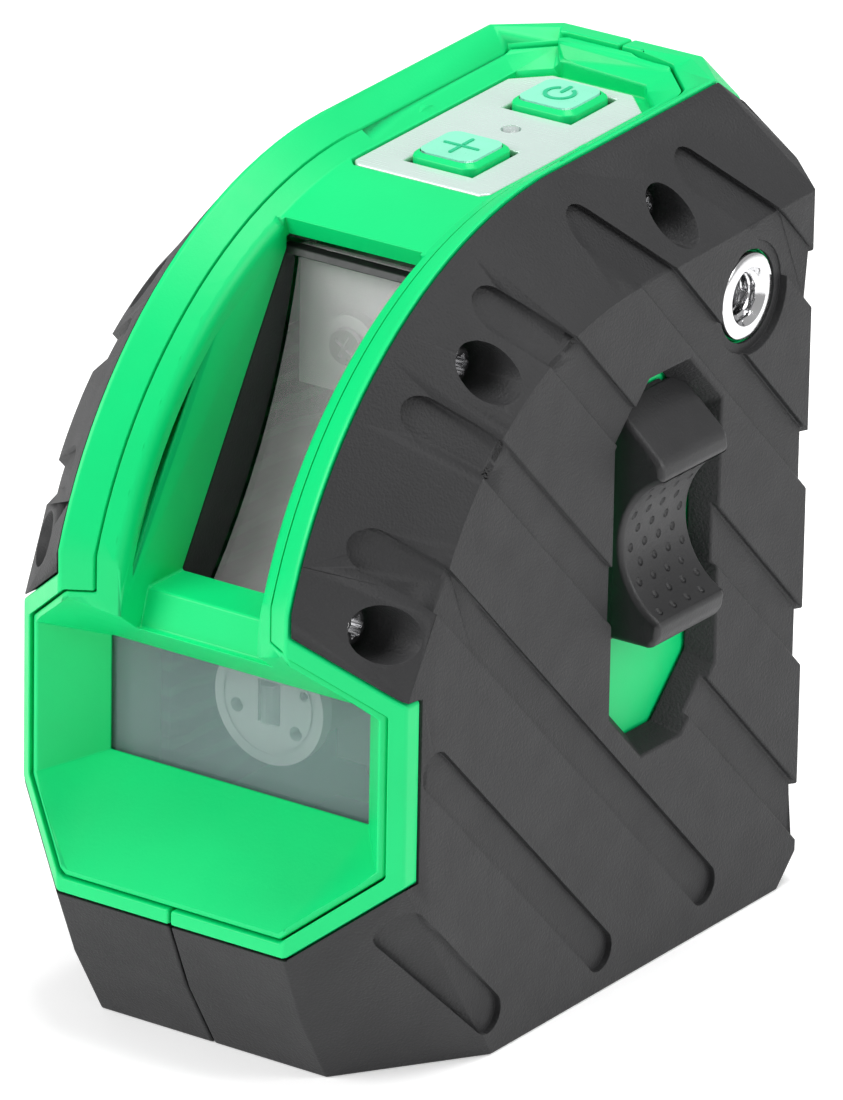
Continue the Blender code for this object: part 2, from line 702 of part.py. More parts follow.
def recess_block():
    """Side walls, head and sill around the tall recess, before the recess is cut."""
    low, head = HEX_TOP_HIGH - 2 * MM, RECESS_HEAD_HIGH - 1.5 * MM
    outline = [
        (FRONT, low), (wall_line_y(low), low), (wall_line_y(head), head),
        (wall_line_y(head), CREST_HIGH - VALLEY_DEEP - 2 * MM),
        (back(RECESS_TOP_BACK - 6 * MM), CREST_HIGH - VALLEY_DEEP - 2 * MM),
    ]
    half = RECESS_HALF + FASCIA_WALL
    return prism(outline, "X", -half, half)


def pocket(lip, grow):
    """Low pocket: a hexagonal mouth, inside the hexagon's edge by lip, that narrows to the window,
    grown by grow."""
    mouth = mirrored(front_hexagon(lip))
    slant = HEX_BACK / (HEX_HALF - RIM_HALF)
    window = mirrored([
        (WINDOW_HALF + grow, WINDOW_LOW_HIGH - grow), (WINDOW_HALF + grow, WINDOW_TOP_HIGH + grow),
    ])
    points = [(x, back(FASCIA_SHY + slant * max(0, abs(x) - RIM_HALF)), z) for x, z in mouth]
    points += [(x, back(POCKET_BACK), z) for x, z in window]
    return points


def pocket_cutter():
    """The pocket's space, with its mouth open to the front."""
    points = pocket(FASCIA_LIP + POCKET_LIP, 0)
    out = [(x, FRONT - 2 * MM, z) for x, y, z in points[:8]]
    return hull(points + out)


def make_fascia(finish):
    """Green fascia: low pocket, cross-bar, tall recess and keypad tray."""
    fascia = make("front_fascia", form(FASCIA_SHY), finish)
    zones = list(fascia_zones(0))
    keep_any(fascia, zones)
    cut(fascia, form(FASCIA_SHY + VALLEY_DEEP + FASCIA_WALL))
    walls = [(x, y + OVERLAP, z) for x, y, z in pocket(FASCIA_LIP + OVERLAP, FASCIA_WALL)]
    join(fascia, hull(walls), recess_block())
    half_window = [(WINDOW_HALF, WINDOW_LOW_HIGH), (WINDOW_HALF, WINDOW_TOP_HIGH)]
    cut(fascia, valley_cutter(), pocket_cutter())
    cut(fascia, prism(mirrored(half_window), "Y", FRONT, back(POCKET_BACK + 4 * MM)))
    rear = back(GIMBAL_BACK)
    recess = [
        (FRONT - FAR / 2, CROSS_BAR_HIGH), (back(CROSS_BAR_BACK[0]), CROSS_BAR_HIGH),
        (back(CROSS_BAR_BACK[1]), RECESS_LOW_HIGH), (rear, RECESS_LOW_HIGH),
        (rear, RECESS_HEAD_HIGH), (back(RECESS_TOP_BACK + 1.6 * MM), RECESS_HEAD_HIGH),
        (back(RECESS_TOP_BACK), RECESS_TOP_HIGH), (FRONT - FAR / 2, RECESS_TOP_HIGH),
    ]
    cut(fascia, prism(recess, "X", -RECESS_HALF, RECESS_HALF))
    lugs = []
    for distance, high in SCREW_PLACES:
        root = lug_anchor(back(distance), high)
        ends = circle(SCREW_LUG_RADIUS, (back(distance), high), 20)
        ends += circle(SCREW_LUG_RADIUS, root, 20)
        for side in (-1, 1):
            span = (side * LUG_IN, side * (FASCIA_HALF - GAP))
            lugs.append(hull([(x, y, z) for y, z in ends for x in span]))
    join(fascia, *lugs)
    cut(fascia, tray_cutter())
    for side in (-1, 1):
        cut(fascia, *shank_holes(side))
    return fascia


def lug_anchor(y, z):
    """Nearest place to a screw where its lug can root in the fascia."""
    if y > ARC_Y:
        return y, crest_z(y, VALLEY_DEEP + FASCIA_WALL)
    return wall_line_y(z) - 2 * MM, z


# Keypad

def keypad_frame():
    """Empty on the flat top where the arc ends, with its X-Y plane in the top."""
    frame = bpy.data.objects.new("keypad_frame", None)
    frame.location = (0, ARC_Y, CREST_HIGH)
    frame.rotation_euler = (CREST_SLOPE, 0, 0)
    bpy.context.scene.collection.objects.link(frame)
    return frame


def plate_outline(grow, room=0.0):
    """Keypad plate's outline (x, along), grown by grow and longer to the rear by room."""
    start, end = PLATE_START - grow, PLATE_START + PLATE_LENGTH + grow + room
    half = PLATE_HALF + grow
    return mirrored([
        (half - PLATE_NICK, start), (half, start + PLATE_NICK),
        (half, end - PLATE_CORNER), (half - PLATE_CORNER, end),
    ])


def tray_cutter():
    """Tray for the keypad plate in the valley's floor."""
    solid = prism(plate_outline(GAP, TRAY_REAR_ROOM), "Z", -PLATE_DEEP - PLATE_THICK - GAP, 0)
    solid.transform(Matrix.Translation((0, ARC_Y, CREST_HIGH)) @ Matrix.Rotation(CREST_SLOPE, 4, "X"))
    return solid


def keypad_hole(along, size, low, high):
    half = size / 2
    return box((-half, along - half, low), (half, along + half, high))


def keypad_holes_world(size_extra):
    """Openings below the plate for the buttons, in world coordinates."""
    turn = Matrix.Translation((0, ARC_Y, CREST_HIGH)) @ Matrix.Rotation(CREST_SLOPE, 4, "X")
    for along in (POWER_ALONG, MODE_ALONG, LED_ALONG):
        size = BUTTON_SIZE + size_extra
        if along == LED_ALONG:
            size = 2 * LED_RADIUS + size_extra
        solid = keypad_hole(along, size, -PLATE_DEEP - 9 * MM, 0)
        solid.transform(turn)
        yield solid


def button_cap(along, low):
    """Square cap with round corners, rising from low through the plate to its bevelled top."""
    reach = BUTTON_SIZE / 2 - BUTTON_CORNER
    top = -PLATE_DEEP + BUTTON_TALL
    points = []
    for x, y in ((reach, reach), (-reach, reach), (-reach, -reach), (reach, -reach)):
        wide = circle(BUTTON_CORNER, (x, y + along), 16)
        narrow = circle(BUTTON_CORNER - BUTTON_BEVEL, (x, y + along), 16)
        points += [(px, py, z) for px, py in wide for z in (low, top - BUTTON_TALL / 2)]
        points += [(px, py, top) for px, py in narrow]
    return hull(points)


def make_keypad(look, frame):
    low = -PLATE_DEEP - PLATE_THICK
    slab = prism(plate_outline(0), "Z", low, -PLATE_DEEP)
    plate = make("keypad_plate", slab, look["plate"], parent=frame)
    for along in (POWER_ALONG, MODE_ALONG):
        cut(plate, keypad_hole(along, BUTTON_SIZE + 2 * GAP, low - MM, MM))
    cut(plate, rod("Z", (0, LED_ALONG), LED_RADIUS + GAP, low - MM, MM, 20))
    for name, along in (("power_button", POWER_ALONG), ("mode_button", MODE_ALONG)):
        pivot = (0, along, -PLATE_DEEP)
        button = make(name, button_cap(along, low), look["cap"], pivot=pivot, parent=frame)
        foot = -PLATE_DEEP - BOARD_DROP + BUTTON_TRAVEL + GAP
        join(button, rod("Z", (0, along), BUTTON_STEM_RADIUS, foot, low + OVERLAP, 20))
    lens = rod("Z", (0, LED_ALONG), LED_RADIUS, -PLATE_DEEP - BOARD_DROP + GAP, -PLATE_DEEP + 0.2 * MM, 20)
    make("status_lens", lens, look["window"], parent=frame)
    board_top = -PLATE_DEEP - BOARD_DROP
    board = box(
        (-PLATE_HALF + MM, PLATE_START + 2 * MM, board_top - BOARD),
        (PLATE_HALF - MM, PLATE_START + PLATE_LENGTH - 5 * MM, board_top),
    )
    make("keypad_board", board, look["board"], parent=frame)


# Windows

def glass_arc(offset):
    """Tall window's profile (y, z) from its foot to its head, offset to the rear."""
    low, top = Vector(GLASS_LOW), Vector(GLASS_TOP)
    chord = top - low
    radius = (chord.length_squared / 4 + GLASS_HOLLOW**2) / (2 * GLASS_HOLLOW)
    normal = Vector((chord.y, -chord.x)).normalized()
    centre = (low + top) / 2 + normal * (GLASS_HOLLOW - radius)
    half = math.asin(chord.length / 2 / radius)
    lean = math.atan2(normal.y, normal.x)
    turns = [lean + half * (i / 6 - 1) for i in range(13)]
    reach = radius + offset
    return [(back(centre.x + reach * math.cos(t)), centre.y + reach * math.sin(t)) for t in turns]


def make_windows(look):
    half = WINDOW_HALF + 2 * MM
    low = box(
        (-half, back(POCKET_BACK + 0.7 * MM), WINDOW_LOW_HIGH - 2 * MM),
        (half, back(POCKET_BACK + 0.7 * MM + GLASS), WINDOW_TOP_HIGH + 2 * MM),
    )
    make("lower_window", low, look["window"])
    half = RECESS_HALF - GAP
    outline = glass_arc(0) + list(reversed(glass_arc(GLASS)))
    make("upper_window", prism(outline, "X", -half, half), look["window"])


def make_window_frame(finish):
    """Black frame that carries the tall glass behind the fascia's recess."""
    half = RECESS_HALF + FRAME_CHEEK
    glass = list(reversed(glass_arc(-GAP)))
    outline = [(wall_line_y(z) + GAP, z) for y, z in (glass[-1], glass[0])] + glass
    frame = make("upper_window_frame", prism(outline, "X", -half, half), finish)
    low_z, high_z = RECESS_LOW_HIGH - 3.2 * MM, RECESS_HEAD_HIGH - 2.2 * MM
    cut(frame, box((-RECESS_HALF, FRONT, low_z), (RECESS_HALF, REAR, high_z)))
    return frame


# Thread bushes and screws

def bush_profile():
    """Bush turned around Z with its mouth at the top, (radius, height)."""
    chamfer = 0.8 * MM
    return [
        (0, -BUSH_LONG), (BUSH_RADIUS - 1.2 * MM, -BUSH_LONG), (BUSH_RADIUS - 1.2 * MM, -3 * MM),
        (BUSH_RADIUS, -3 * MM), (BUSH_RADIUS, -chamfer), (BUSH_RADIUS - chamfer, 0),
        (THREAD_RADIUS + 0.5 * MM, 0), (THREAD_RADIUS, -0.9 * MM),
        (THREAD_RADIUS, -BUSH_LONG + 1.4 * MM), (0, -BUSH_LONG + 1.0 * MM),
    ]


def make_bushes(finish):
    side = turned(bush_profile())
    side.transform(
        Matrix.Translation((HALF_WIDTH - BUSH_SHY, *BUSH_PLACE)) @ Matrix.Rotation(math.pi / 2, 4, "Y")
    )
    make("side_thread_bush", side, finish)
    base = turned(bush_profile())
    base.transform(
        Matrix.Translation((*BASE_BUSH_PLACE, BASE_BUSH_SHY)) @ Matrix.Rotation(math.pi, 4, "X")
    )
    make("base_thread_bush", base, finish)


def make_case_screws(finish):
    names = ("lower", "middle", "upper")
    seat = SCREW_SEAT + GAP
    for side, word in ((-1, "left"), (1, "right")):
        for place, (distance, high) in zip(names, SCREW_PLACES):
            centre = (back(distance), high)
            head = sorted((side * seat, side * (seat + SCREW_HEAD_TALL)))
            shank = sorted((side * LUG_IN, side * (seat + 0.5 * MM)))
            solid = rod("X", centre, SCREW_HEAD_RADIUS, *head, 20)
            screw = make(f"case_screw_{word}_{place}", solid, finish)
            join(screw, rod("X", centre, SCREW_SHANK_RADIUS, *shank, 16))
            socket = sorted((side * (seat + SCREW_HEAD_TALL - 0.9 * MM), side * FAR))
            cut(screw, rod("X", centre, 1.2 * MM, *socket, 6))


# Lock

def knob_outline():
    """Knob seen along Y, (x, z): lips at both ends and a round scoop between them."""
    low_x = PAN_OUT + GAP
    lip = KNOB_OUT
    scoop_low, scoop_top = KNOB_LOW + KNOB_LIP, KNOB_TOP - 2.4 * KNOB_LIP
    half = (scoop_top - scoop_low) / 2
    radius = (half**2 + KNOB_SCOOP**2) / (2 * KNOB_SCOOP)
    middle = (scoop_top + scoop_low) / 2
    spread = math.asin(half / radius)
    centre_x = lip - KNOB_SCOOP + radius
    turns = [-spread + 2 * spread * i / 14 for i in range(15)]
    arc = [(centre_x - radius * math.cos(t), middle + radius * math.sin(t)) for t in turns]
    return [
        (low_x, KNOB_LOW), (lip - 1.6 * MM, KNOB_LOW), (lip - 0.3 * MM, KNOB_LOW + 1.4 * MM), *arc,
        (lip - 0.4 * MM, scoop_top + 2.6 * MM), (lip - 2.4 * MM, scoop_top + 4.4 * MM),
        (low_x, KNOB_TOP),
    ]


def make_knob(finish):
    half = KNOB_WIDE / 2
    span = (SLOT_MID_Y - half, SLOT_MID_Y + half)
    pivot = (PAN_OUT, SLOT_MID_Y, KNOB_TOP)
    knob = make("lock_knob", prism(knob_outline(), "Y", *span), finish, pivot=pivot)
    neck_half = NECK_WIDE / 2
    join(knob, box(
        (PAN_OUT - PAN_THICK, SLOT_MID_Y - neck_half, NECK_TOP - NECK_LONG),
        (PAN_OUT + 2 * GAP, SLOT_MID_Y + neck_half, NECK_TOP),
    ))
    centre = (SLOT_MID_Y, NECK_TOP - NECK_LONG / 2)
    cut(knob, rod("X", centre, NECK_SCREW_RADIUS + GAP, 0, PAN_OUT + 1 * MM, 16))
    keep(knob, prism(slot_outline(-SLOT_SLOPE - GAP), "X", 0, FAR))
    return knob


WEB_LOW_Y = SLOT_MID_Y - WEB_THICK / 2
CARRIAGE_OUT = PAN_OUT - PAN_THICK - GAP
CARRIAGE_THICK = 1.8 * MM
PLUNGER_REST_X = 21.3 * MM


def slot_x(z):
    """X of the web's slanted slot at rest; the pin stays at one height as the web goes down."""
    return PLUNGER_REST_X - PLUNGER_TRAVEL * (z - PLUNGER_HIGH) / KNOB_TRAVEL


def make_carriage(finish):
    """Plate behind the pan with a web whose slanted slot drives the plunger."""
    top = PLUNGER_HIGH + KNOB_TRAVEL + 4.5 * MM
    plate = box(
        (CARRIAGE_OUT - CARRIAGE_THICK, WEB_LOW_Y, NECK_TOP - NECK_LONG - 4 * MM),
        (CARRIAGE_OUT, SLOT_MID_Y + 7 * MM, top),
    )
    carriage = make("lock_carriage", plate, finish, pivot=(CARRIAGE_OUT, SLOT_MID_Y, NECK_TOP))
    web_low = PLUNGER_HIGH - 4.5 * MM
    inner = slot_x(PLUNGER_HIGH + KNOB_TRAVEL) - PIN_RADIUS - 1.6 * MM
    web_high_y = WEB_LOW_Y + WEB_THICK
    join(carriage, box((inner, WEB_LOW_Y, web_low), (CARRIAGE_OUT - 0.5 * MM, web_high_y, top)))
    ends = []
    for z in (PLUNGER_HIGH, PLUNGER_HIGH + KNOB_TRAVEL):
        ends += circle(PIN_RADIUS + GAP, (slot_x(z), z), 20)
    span = (WEB_LOW_Y - CUT_PAST, web_high_y + CUT_PAST)
    cut(carriage, hull([(x, y, z) for x, z in ends for y in span]))
    screw_y, screw_z = SLOT_MID_Y, NECK_TOP - NECK_LONG / 2
    cut(carriage, rod("X", (screw_y, screw_z), NECK_SCREW_RADIUS + GAP, 0, FAR, 16))
    return carriage


def make_carriage_screw(finish):
    centre = (SLOT_MID_Y, NECK_TOP - NECK_LONG / 2)
    head = CARRIAGE_OUT - CARRIAGE_THICK - GAP
    solid = rod("X", centre, 2.2 * MM, head - 1.4 * MM, head, 20)
    screw = make("lock_carriage_screw", solid, finish)
    join(screw, rod("X", centre, NECK_SCREW_RADIUS, head - 0.4 * MM, PAN_OUT + 0.4 * MM, 16))


PLUNGER_Y = WEB_LOW_Y - GAP - PLUNGER_SIDE / 2
PLUNGER_LOW_X = PLUNGER_REST_X - 2.5 * MM


def make_plunger(finish):
    """Square bar along X with the pin that rides in the carriage's slot."""
    half = PLUNGER_SIDE / 2
    bar = box(
        (PLUNGER_LOW_X, PLUNGER_Y - half, PLUNGER_HIGH - half),
        (PLUNGER_REST_X + 2.5 * MM, PLUNGER_Y + half, PLUNGER_HIGH + half),
    )
    plunger = make("lock_plunger", bar, finish, pivot=(PLUNGER_REST_X, PLUNGER_Y, PLUNGER_HIGH))
    join(plunger, rod(
        "Y", (PLUNGER_REST_X, PLUNGER_HIGH), PIN_RADIUS,
        PLUNGER_Y + half - 0.5 * MM, WEB_LOW_Y + WEB_THICK + 0.3 * MM, 20,
    ))


def make_brake_shoe(finish):
    """Rubber pad on the plunger with a hollow face that fits the pendulum's brake ball."""
    half = PLUNGER_SIDE / 2 + 0.6 * MM
    high = PLUNGER_LOW_X - GAP
    shoe = make("brake_shoe", box(
        (high - SHOE_THICK - 2.5 * MM, PLUNGER_Y - half, PLUNGER_HIGH - half),
        (high, PLUNGER_Y + PLUNGER_SIDE / 2, PLUNGER_HIGH + half),
    ), finish, pivot=(high, PLUNGER_Y, PLUNGER_HIGH))
    cut(shoe, ball(BRAKE_RADIUS + GAP, GIMBAL + Vector((PLUNGER_TRAVEL, 0, 0))))


# Gimbal

def make_suspension(finish):
    """Fixed bracket that carries the gimbal's front and rear pivots and guides the plunger."""
    front, rear = back(FRAME_FRONT_BACK), 2 * GIMBAL.y - back(FRAME_FRONT_BACK)
    outline = [
        (front, FRAME_LOW_HIGH), (front, FRAME_TOP_HIGH), (rear, FRAME_TOP_HIGH), (rear, FRAME_LOW_HIGH),
        (rear - FRAME_PLATE, FRAME_LOW_HIGH), (rear - FRAME_PLATE, FRAME_TOP_HIGH - FRAME_PLATE),
        (front + FRAME_PLATE, FRAME_TOP_HIGH - FRAME_PLATE), (front + FRAME_PLATE, FRAME_LOW_HIGH),
    ]
    frame = make("suspension_frame", prism(outline, "X", -FRAME_HALF, FRAME_HALF), finish)
    ear_x = RIM_HALF + 2.5 * MM
    join(frame, box(
        (-ear_x, GIMBAL.y - 6 * MM, FRAME_TOP_HIGH - FRAME_PLATE),
        (ear_x, GIMBAL.y + 6 * MM, FRAME_TOP_HIGH),
    ))
    guide_low = PLUNGER_HIGH - PLUNGER_SIDE / 2 - 2.5 * MM
    guide_y = PLUNGER_Y - PLUNGER_SIDE / 2 - 2.5 * MM
    join(frame, box(
        (PLUNGER_LOW_X - 1.6 * MM, guide_y, guide_low),
        (PLUNGER_LOW_X + 1.6 * MM, PLUNGER_Y + PLUNGER_SIDE / 2 - GAP, FRAME_TOP_HIGH - 0.5 * MM),
    ))
    half = PLUNGER_SIDE / 2 + 0.6 * MM + GAP
    cut(frame, box(
        (PLUNGER_LOW_X - 9 * MM, PLUNGER_Y - half, PLUNGER_HIGH - half),
        (PLUNGER_LOW_X + 9 * MM, PLUNGER_Y + 16 * MM, PLUNGER_HIGH + half),
    ))
    boss = rod("Y", (BOSS_SIDE, BOSS_HIGH), BOSS_RADIUS, back(BOSS_FRONT_BACK), front + 0.5 * MM)
    join(frame, boss)
    cut(frame, rod("Y", (0, GIMBAL.z), PIVOT_RADIUS + GAP, front + 0.8 * MM, rear - 0.8 * MM, 20))
    cut(frame, rod("Y", (BOSS_SIDE, BOSS_HIGH), 1.3 * MM + GAP, FRONT, front + 0.4 * MM, 20))
    return frame


def make_bracket_screw(finish):
    face = back(BOSS_FRONT_BACK) - GAP
    centre = (BOSS_SIDE, BOSS_HIGH)
    screw = make("bracket_screw", rod("Y", centre, 2.5 * MM, face - 0.9 * MM, face, 24), finish)
    join(screw, rod("Y", centre, 1.3 * MM, face - 0.3 * MM, back(FRAME_FRONT_BACK), 20))
    for angle in (0, 90):
        slot = box((-1.7 * MM, face - 2 * MM, -0.3 * MM), (1.7 * MM, face - 0.4 * MM, 0.3 * MM))
        slot.transform(
            Matrix.Translation((BOSS_SIDE, 0, BOSS_HIGH))
            @ Matrix.Rotation(math.radians(angle + 30), 4, "Y")
        )
        cut(screw, slot)


def make_gimbal(look):
    outer = mirrored([(RING_HALF_X, GIMBAL.y - RING_HALF_Y), (RING_HALF_X, GIMBAL.y + RING_HALF_Y)])
    x, y = RING_HALF_X - RING_BAR, RING_HALF_Y - RING_BAR
    low, high = GIMBAL.z - RING_TALL / 2, GIMBAL.z + RING_TALL / 2
    ring = make("gimbal_ring", prism(outer, "Z", low, high), look["brass"], pivot=GIMBAL)
    cut(ring, box((-x, GIMBAL.y - y, low - MM), (x, GIMBAL.y + y, high + MM)))
    cut(ring, rod("Y", (0, GIMBAL.z), PIVOT_RADIUS + GAP, FRONT, REAR, 20))
    cut(ring, rod("X", (GIMBAL.y, GIMBAL.z), PIVOT_RADIUS + GAP, -HALF_WIDTH, HALF_WIDTH, 20))
    frame_reach = GIMBAL.y - back(FRAME_FRONT_BACK) - 1.2 * MM
    for name, sign in (("roll_pin_front", -1), ("roll_pin_rear", 1)):
        span = sorted((GIMBAL.y + sign * frame_reach, GIMBAL.y + sign * (y + 0.3 * MM)))
        make(name, rod("Y", (0, GIMBAL.z), PIVOT_RADIUS, *span, 20), look["steel"], pivot=GIMBAL)
    for name, sign in (("pitch_pin_left", -1), ("pitch_pin_right", 1)):
        span = sorted((sign * (RING_HALF_X - 0.2 * MM), sign * (HEAD_HALF - 2.5 * MM)))
        make(name, rod("X", (GIMBAL.y, GIMBAL.z), PIVOT_RADIUS, *span, 20), look["steel"], pivot=GIMBAL)


def make_pendulum(look):
    """Cast pendulum: head on the pitch pins, brake ball, and the block that holds the modules."""
    y, z = GIMBAL.y, GIMBAL.z
    head_low = z - HEAD_TALL / 2
    head = box((-HEAD_HALF, y - 4 * MM, head_low), (HEAD_HALF, y + 4 * MM, z + HEAD_TALL / 2))
    frame = make("pendulum_frame", head, look["casting"], pivot=GIMBAL)
    brake_top = z - BRAKE_TOP_DROP
    join(frame, box((-3 * MM, y - 3 * MM, BLOCK_TOP_HIGH - MM), (3 * MM, y + 3 * MM, head_low + MM)))
    brake = guide(frame, "brake", ball(BRAKE_RADIUS, GIMBAL))
    keep(brake, box(
        (-FAR, y - BRAKE_HALF_Y, brake_top - BRAKE_TALL), (FAR, y + BRAKE_HALF_Y, brake_top)
    ))
    combine(frame, brake, "UNION")
    front, rear = back(BLOCK_FRONT_BACK), back(BLOCK_FRONT_BACK + BLOCK_DEEP)
    join(frame, box((-BLOCK_HALF, front, BLOCK_LOW_HIGH), (BLOCK_HALF, rear, BLOCK_TOP_HIGH)))
    cut(frame, rod("X", (y, z), PIVOT_RADIUS + GAP, -HALF_WIDTH, HALF_WIDTH, 20))
    cut(frame, rod("Y", (0, LOW_LASER_HIGH), LOW_LASER_RADIUS + GAP, FRONT, rear - 3 * MM))
    cut(frame, rod("Y", (0, HIGH_LASER_HIGH), HIGH_LASER_RADIUS + GAP, FRONT, rear - 3 * MM))
    cut(frame, rod("Y", (0, BLOCK_LOW_HIGH + 5 * MM), 1.8 * MM, rear - 8 * MM, REAR, 20))
    return frame


def make_lasers(look):
    rear = back(BLOCK_FRONT_BACK + BLOCK_DEEP) - 3.5 * MM
    front = back(LOW_LASER_FRONT_BACK)
    module = rod("Y", (0, LOW_LASER_HIGH), LOW_LASER_RADIUS, front, rear)
    make("horizontal_module", module, look["brass"], pivot=GIMBAL)
    face = make("horizontal_face_plate", rod(
        "Y", (0, LOW_LASER_HIGH), FACE_RADIUS, front - GAP - FACE_THICK, front - GAP, 40
    ), look["plate"], pivot=GIMBAL)
    half = LENS_RADIUS + GAP
    cut(face, box((-half, FRONT, LOW_LASER_HIGH - 3 * MM), (half, REAR, LOW_LASER_HIGH + 3 * MM)))
    for x, z in ((-5.2 * MM, -1.6 * MM), (4.4 * MM, -3.4 * MM)):
        cut(face, rod("Y", (x, LOW_LASER_HIGH + z), 1.0 * MM, FRONT, REAR, 16))
    lens_y = front - GAP - LENS_RADIUS
    lens = rod("Z", (0, lens_y), LENS_RADIUS, LOW_LASER_HIGH - 2.7 * MM, LOW_LASER_HIGH + 2.7 * MM, 20)
    make("horizontal_line_lens", lens, look["window"], pivot=GIMBAL)
    front = back(HIGH_LASER_FRONT_BACK)
    module = rod("Y", (0, HIGH_LASER_HIGH), HIGH_LASER_RADIUS, front, rear)
    upper = make("vertical_module", module, look["brass"], pivot=GIMBAL)
    cut(upper, box(
        (-3.2 * MM, FRONT, HIGH_LASER_HIGH - LENS_RADIUS - GAP),
        (3.2 * MM, front + 2 * LENS_RADIUS + GAP, HIGH_LASER_HIGH + LENS_RADIUS + GAP),
    ))
    lens = rod("X", (front + LENS_RADIUS, HIGH_LASER_HIGH), LENS_RADIUS, -2.8 * MM, 2.8 * MM, 20)
    make("vertical_line_lens", lens, look["window"], pivot=GIMBAL)


def make_balance(look):
    y = back(BLOCK_FRONT_BACK + BLOCK_DEEP)
    screw = rod("Y", (0, BLOCK_LOW_HIGH + 5 * MM), 1.5 * MM, y - 7 * MM, y + 1 * MM, 20)
    balance = make("balance_screw", screw, look["brass"], pivot=GIMBAL)
    join(balance, rod("Y", (0, BLOCK_LOW_HIGH + 5 * MM), 4.0 * MM, y + GAP, y + 2.2 * MM, 24))
    top = BLOCK_LOW_HIGH - GAP
    centre = (0, GIMBAL.y)
    plate = rod("Z", centre, DAMPER_RADIUS, top - DAMPER_THICK, top)
    make("damping_plate", plate, look["copper"], pivot=GIMBAL)
    magnet_top = top - DAMPER_THICK - MAGNET_AIR
    magnet = rod("Z", centre, MAGNET_RADIUS, magnet_top - MAGNET_TALL, magnet_top)
    make("damping_magnet", magnet, look["magnet"])
    make_magnet_holder(look["black"], centre, magnet_top - MAGNET_TALL - GAP)


def make_magnet_holder(finish, centre, top):
    """Round seat under the magnet on a bridge with two legs that stand on the floor."""
    seat = rod("Z", centre, MAGNET_RADIUS + 1.5 * MM, top - HOLDER_THICK, top)
    holder = make("magnet_holder", seat, finish)
    low_y, high_y = centre[1] - HOLDER_HALF, centre[1] + HOLDER_HALF
    join(holder, box((-RIM_HALF, low_y, top - HOLDER_THICK), (RIM_HALF, high_y, top - 0.4 * MM)))
    for side in (-1, 1):
        low, high = sorted((side * RIM_HALF, side * (RIM_HALF - HOLDER_LEG)))
        join(holder, box((low, low_y, CAVITY_INSET + GAP), (high, high_y, top - 0.7 * MM)))


# Electronics and battery bay

def make_driver_board(finish):
    out = -(HALF_WIDTH - CAVITY_INSET - 1.0 * MM)
    board = box(
        (out, back(34 * MM), 18 * MM), (out + BOARD, back(78 * MM), 80 * MM)
    )
    make("driver_board", board, finish)


CELL_Y = REAR - CAVITY_INSET - CELL_RADIUS - 1.6 * MM
TRAY_LOW_HIGH = CELL_LOW_HIGH - 2 * STRIP - TRAY_WALL - 2.0 * MM
TRAY_TOP_HIGH = CELL_LOW_HIGH + CELL_LONG + 2 * STRIP + TRAY_WALL + 0.8 * MM


def make_battery_bay(look):
    half = CELL_PITCH + CELL_RADIUS + GAP
    front = CELL_Y - CELL_RADIUS - GAP
    rear = CELL_Y + CELL_RADIUS
    wall = TRAY_WALL
    tray = make("battery_tray", box(
        (-half - wall, front - wall, TRAY_LOW_HIGH), (half + wall, rear, TRAY_TOP_HIGH)
    ), look["black"])
    cut(tray, box((-half, front, TRAY_LOW_HIGH + wall), (half, REAR, TRAY_TOP_HIGH - wall)))
    for name, step in (("cell_left", -1), ("cell_middle", 0), ("cell_right", 1)):
        centre = (step * CELL_PITCH, CELL_Y)
        top = CELL_LOW_HIGH + CELL_LONG
        cell = make(name, rod("Z", centre, CELL_RADIUS, CELL_LOW_HIGH, top - CELL_CAP_TALL), look["cell"])
        join(cell, rod("Z", centre, CELL_CAP_RADIUS, top - 2 * CELL_CAP_TALL, top, 20))
    for name, low in (
        ("contact_strip_low", TRAY_LOW_HIGH + wall + GAP / 2),
        ("contact_strip_high", TRAY_TOP_HIGH - wall - STRIP - GAP / 2),
    ):
        band = box(
            (-half + MM, CELL_Y - STRIP_HALF, low), (half - MM, CELL_Y + STRIP_HALF, low + STRIP)
        )
        strip = make(name, band, look["steel"])
        if low < CELL_LOW_HIGH:
            for step in (-1, 0, 1):
                join(strip, contact_cone((step * CELL_PITCH, CELL_Y), low + STRIP / 2))


def contact_cone(centre, low):
    """Sprung cone that presses on a cell's flat end."""
    points = [(x, y, low) for x, y in circle(STRIP_HALF, centre, 20)]
    points += [(x, y, CELL_LOW_HIGH - GAP) for x, y in circle(CONE_TIP_RADIUS, centre, 20)]
    return hull(points)


def make_door(finish):
    """Rear battery door, rounded at its foot around the hinge pin."""
    low_y, high_y = REAR - DOOR_THICK - 0.1 * MM, REAR - 0.1 * MM
    round_edge = circle(DOOR_THICK / 2, (DOOR_PIVOT.y, DOOR_PIVOT.z), 24)
    head = [(low_y, DOOR_TOP_HIGH), (high_y, DOOR_TOP_HIGH - 0.6 * MM)]
    points = [(x, y, z) for y, z in round_edge + head for x in (-DOOR_HALF, DOOR_HALF)]
    door = make("battery_door", hull(points), finish, pivot=DOOR_PIVOT)
    cut(door, rod("X", (DOOR_PIVOT.y, DOOR_PIVOT.z), DOOR_PIN_RADIUS + GAP, -FAR, FAR, 20))
    cut(door, box(
        (-8 * MM, high_y - 0.8 * MM, DOOR_TOP_HIGH - 6 * MM), (8 * MM, FAR, DOOR_TOP_HIGH - 3 * MM)
    ))
    return door


def make_door_pin(finish):
    half = DOOR_HALF + 1.5 * MM
    pin = rod("X", (DOOR_PIVOT.y, DOOR_PIVOT.z), DOOR_PIN_RADIUS, -half, half, 20)
    make("door_hinge_pin", pin, finish)


def clear_scene():
    for old in list(bpy.data.objects):
        bpy.data.objects.remove(old)


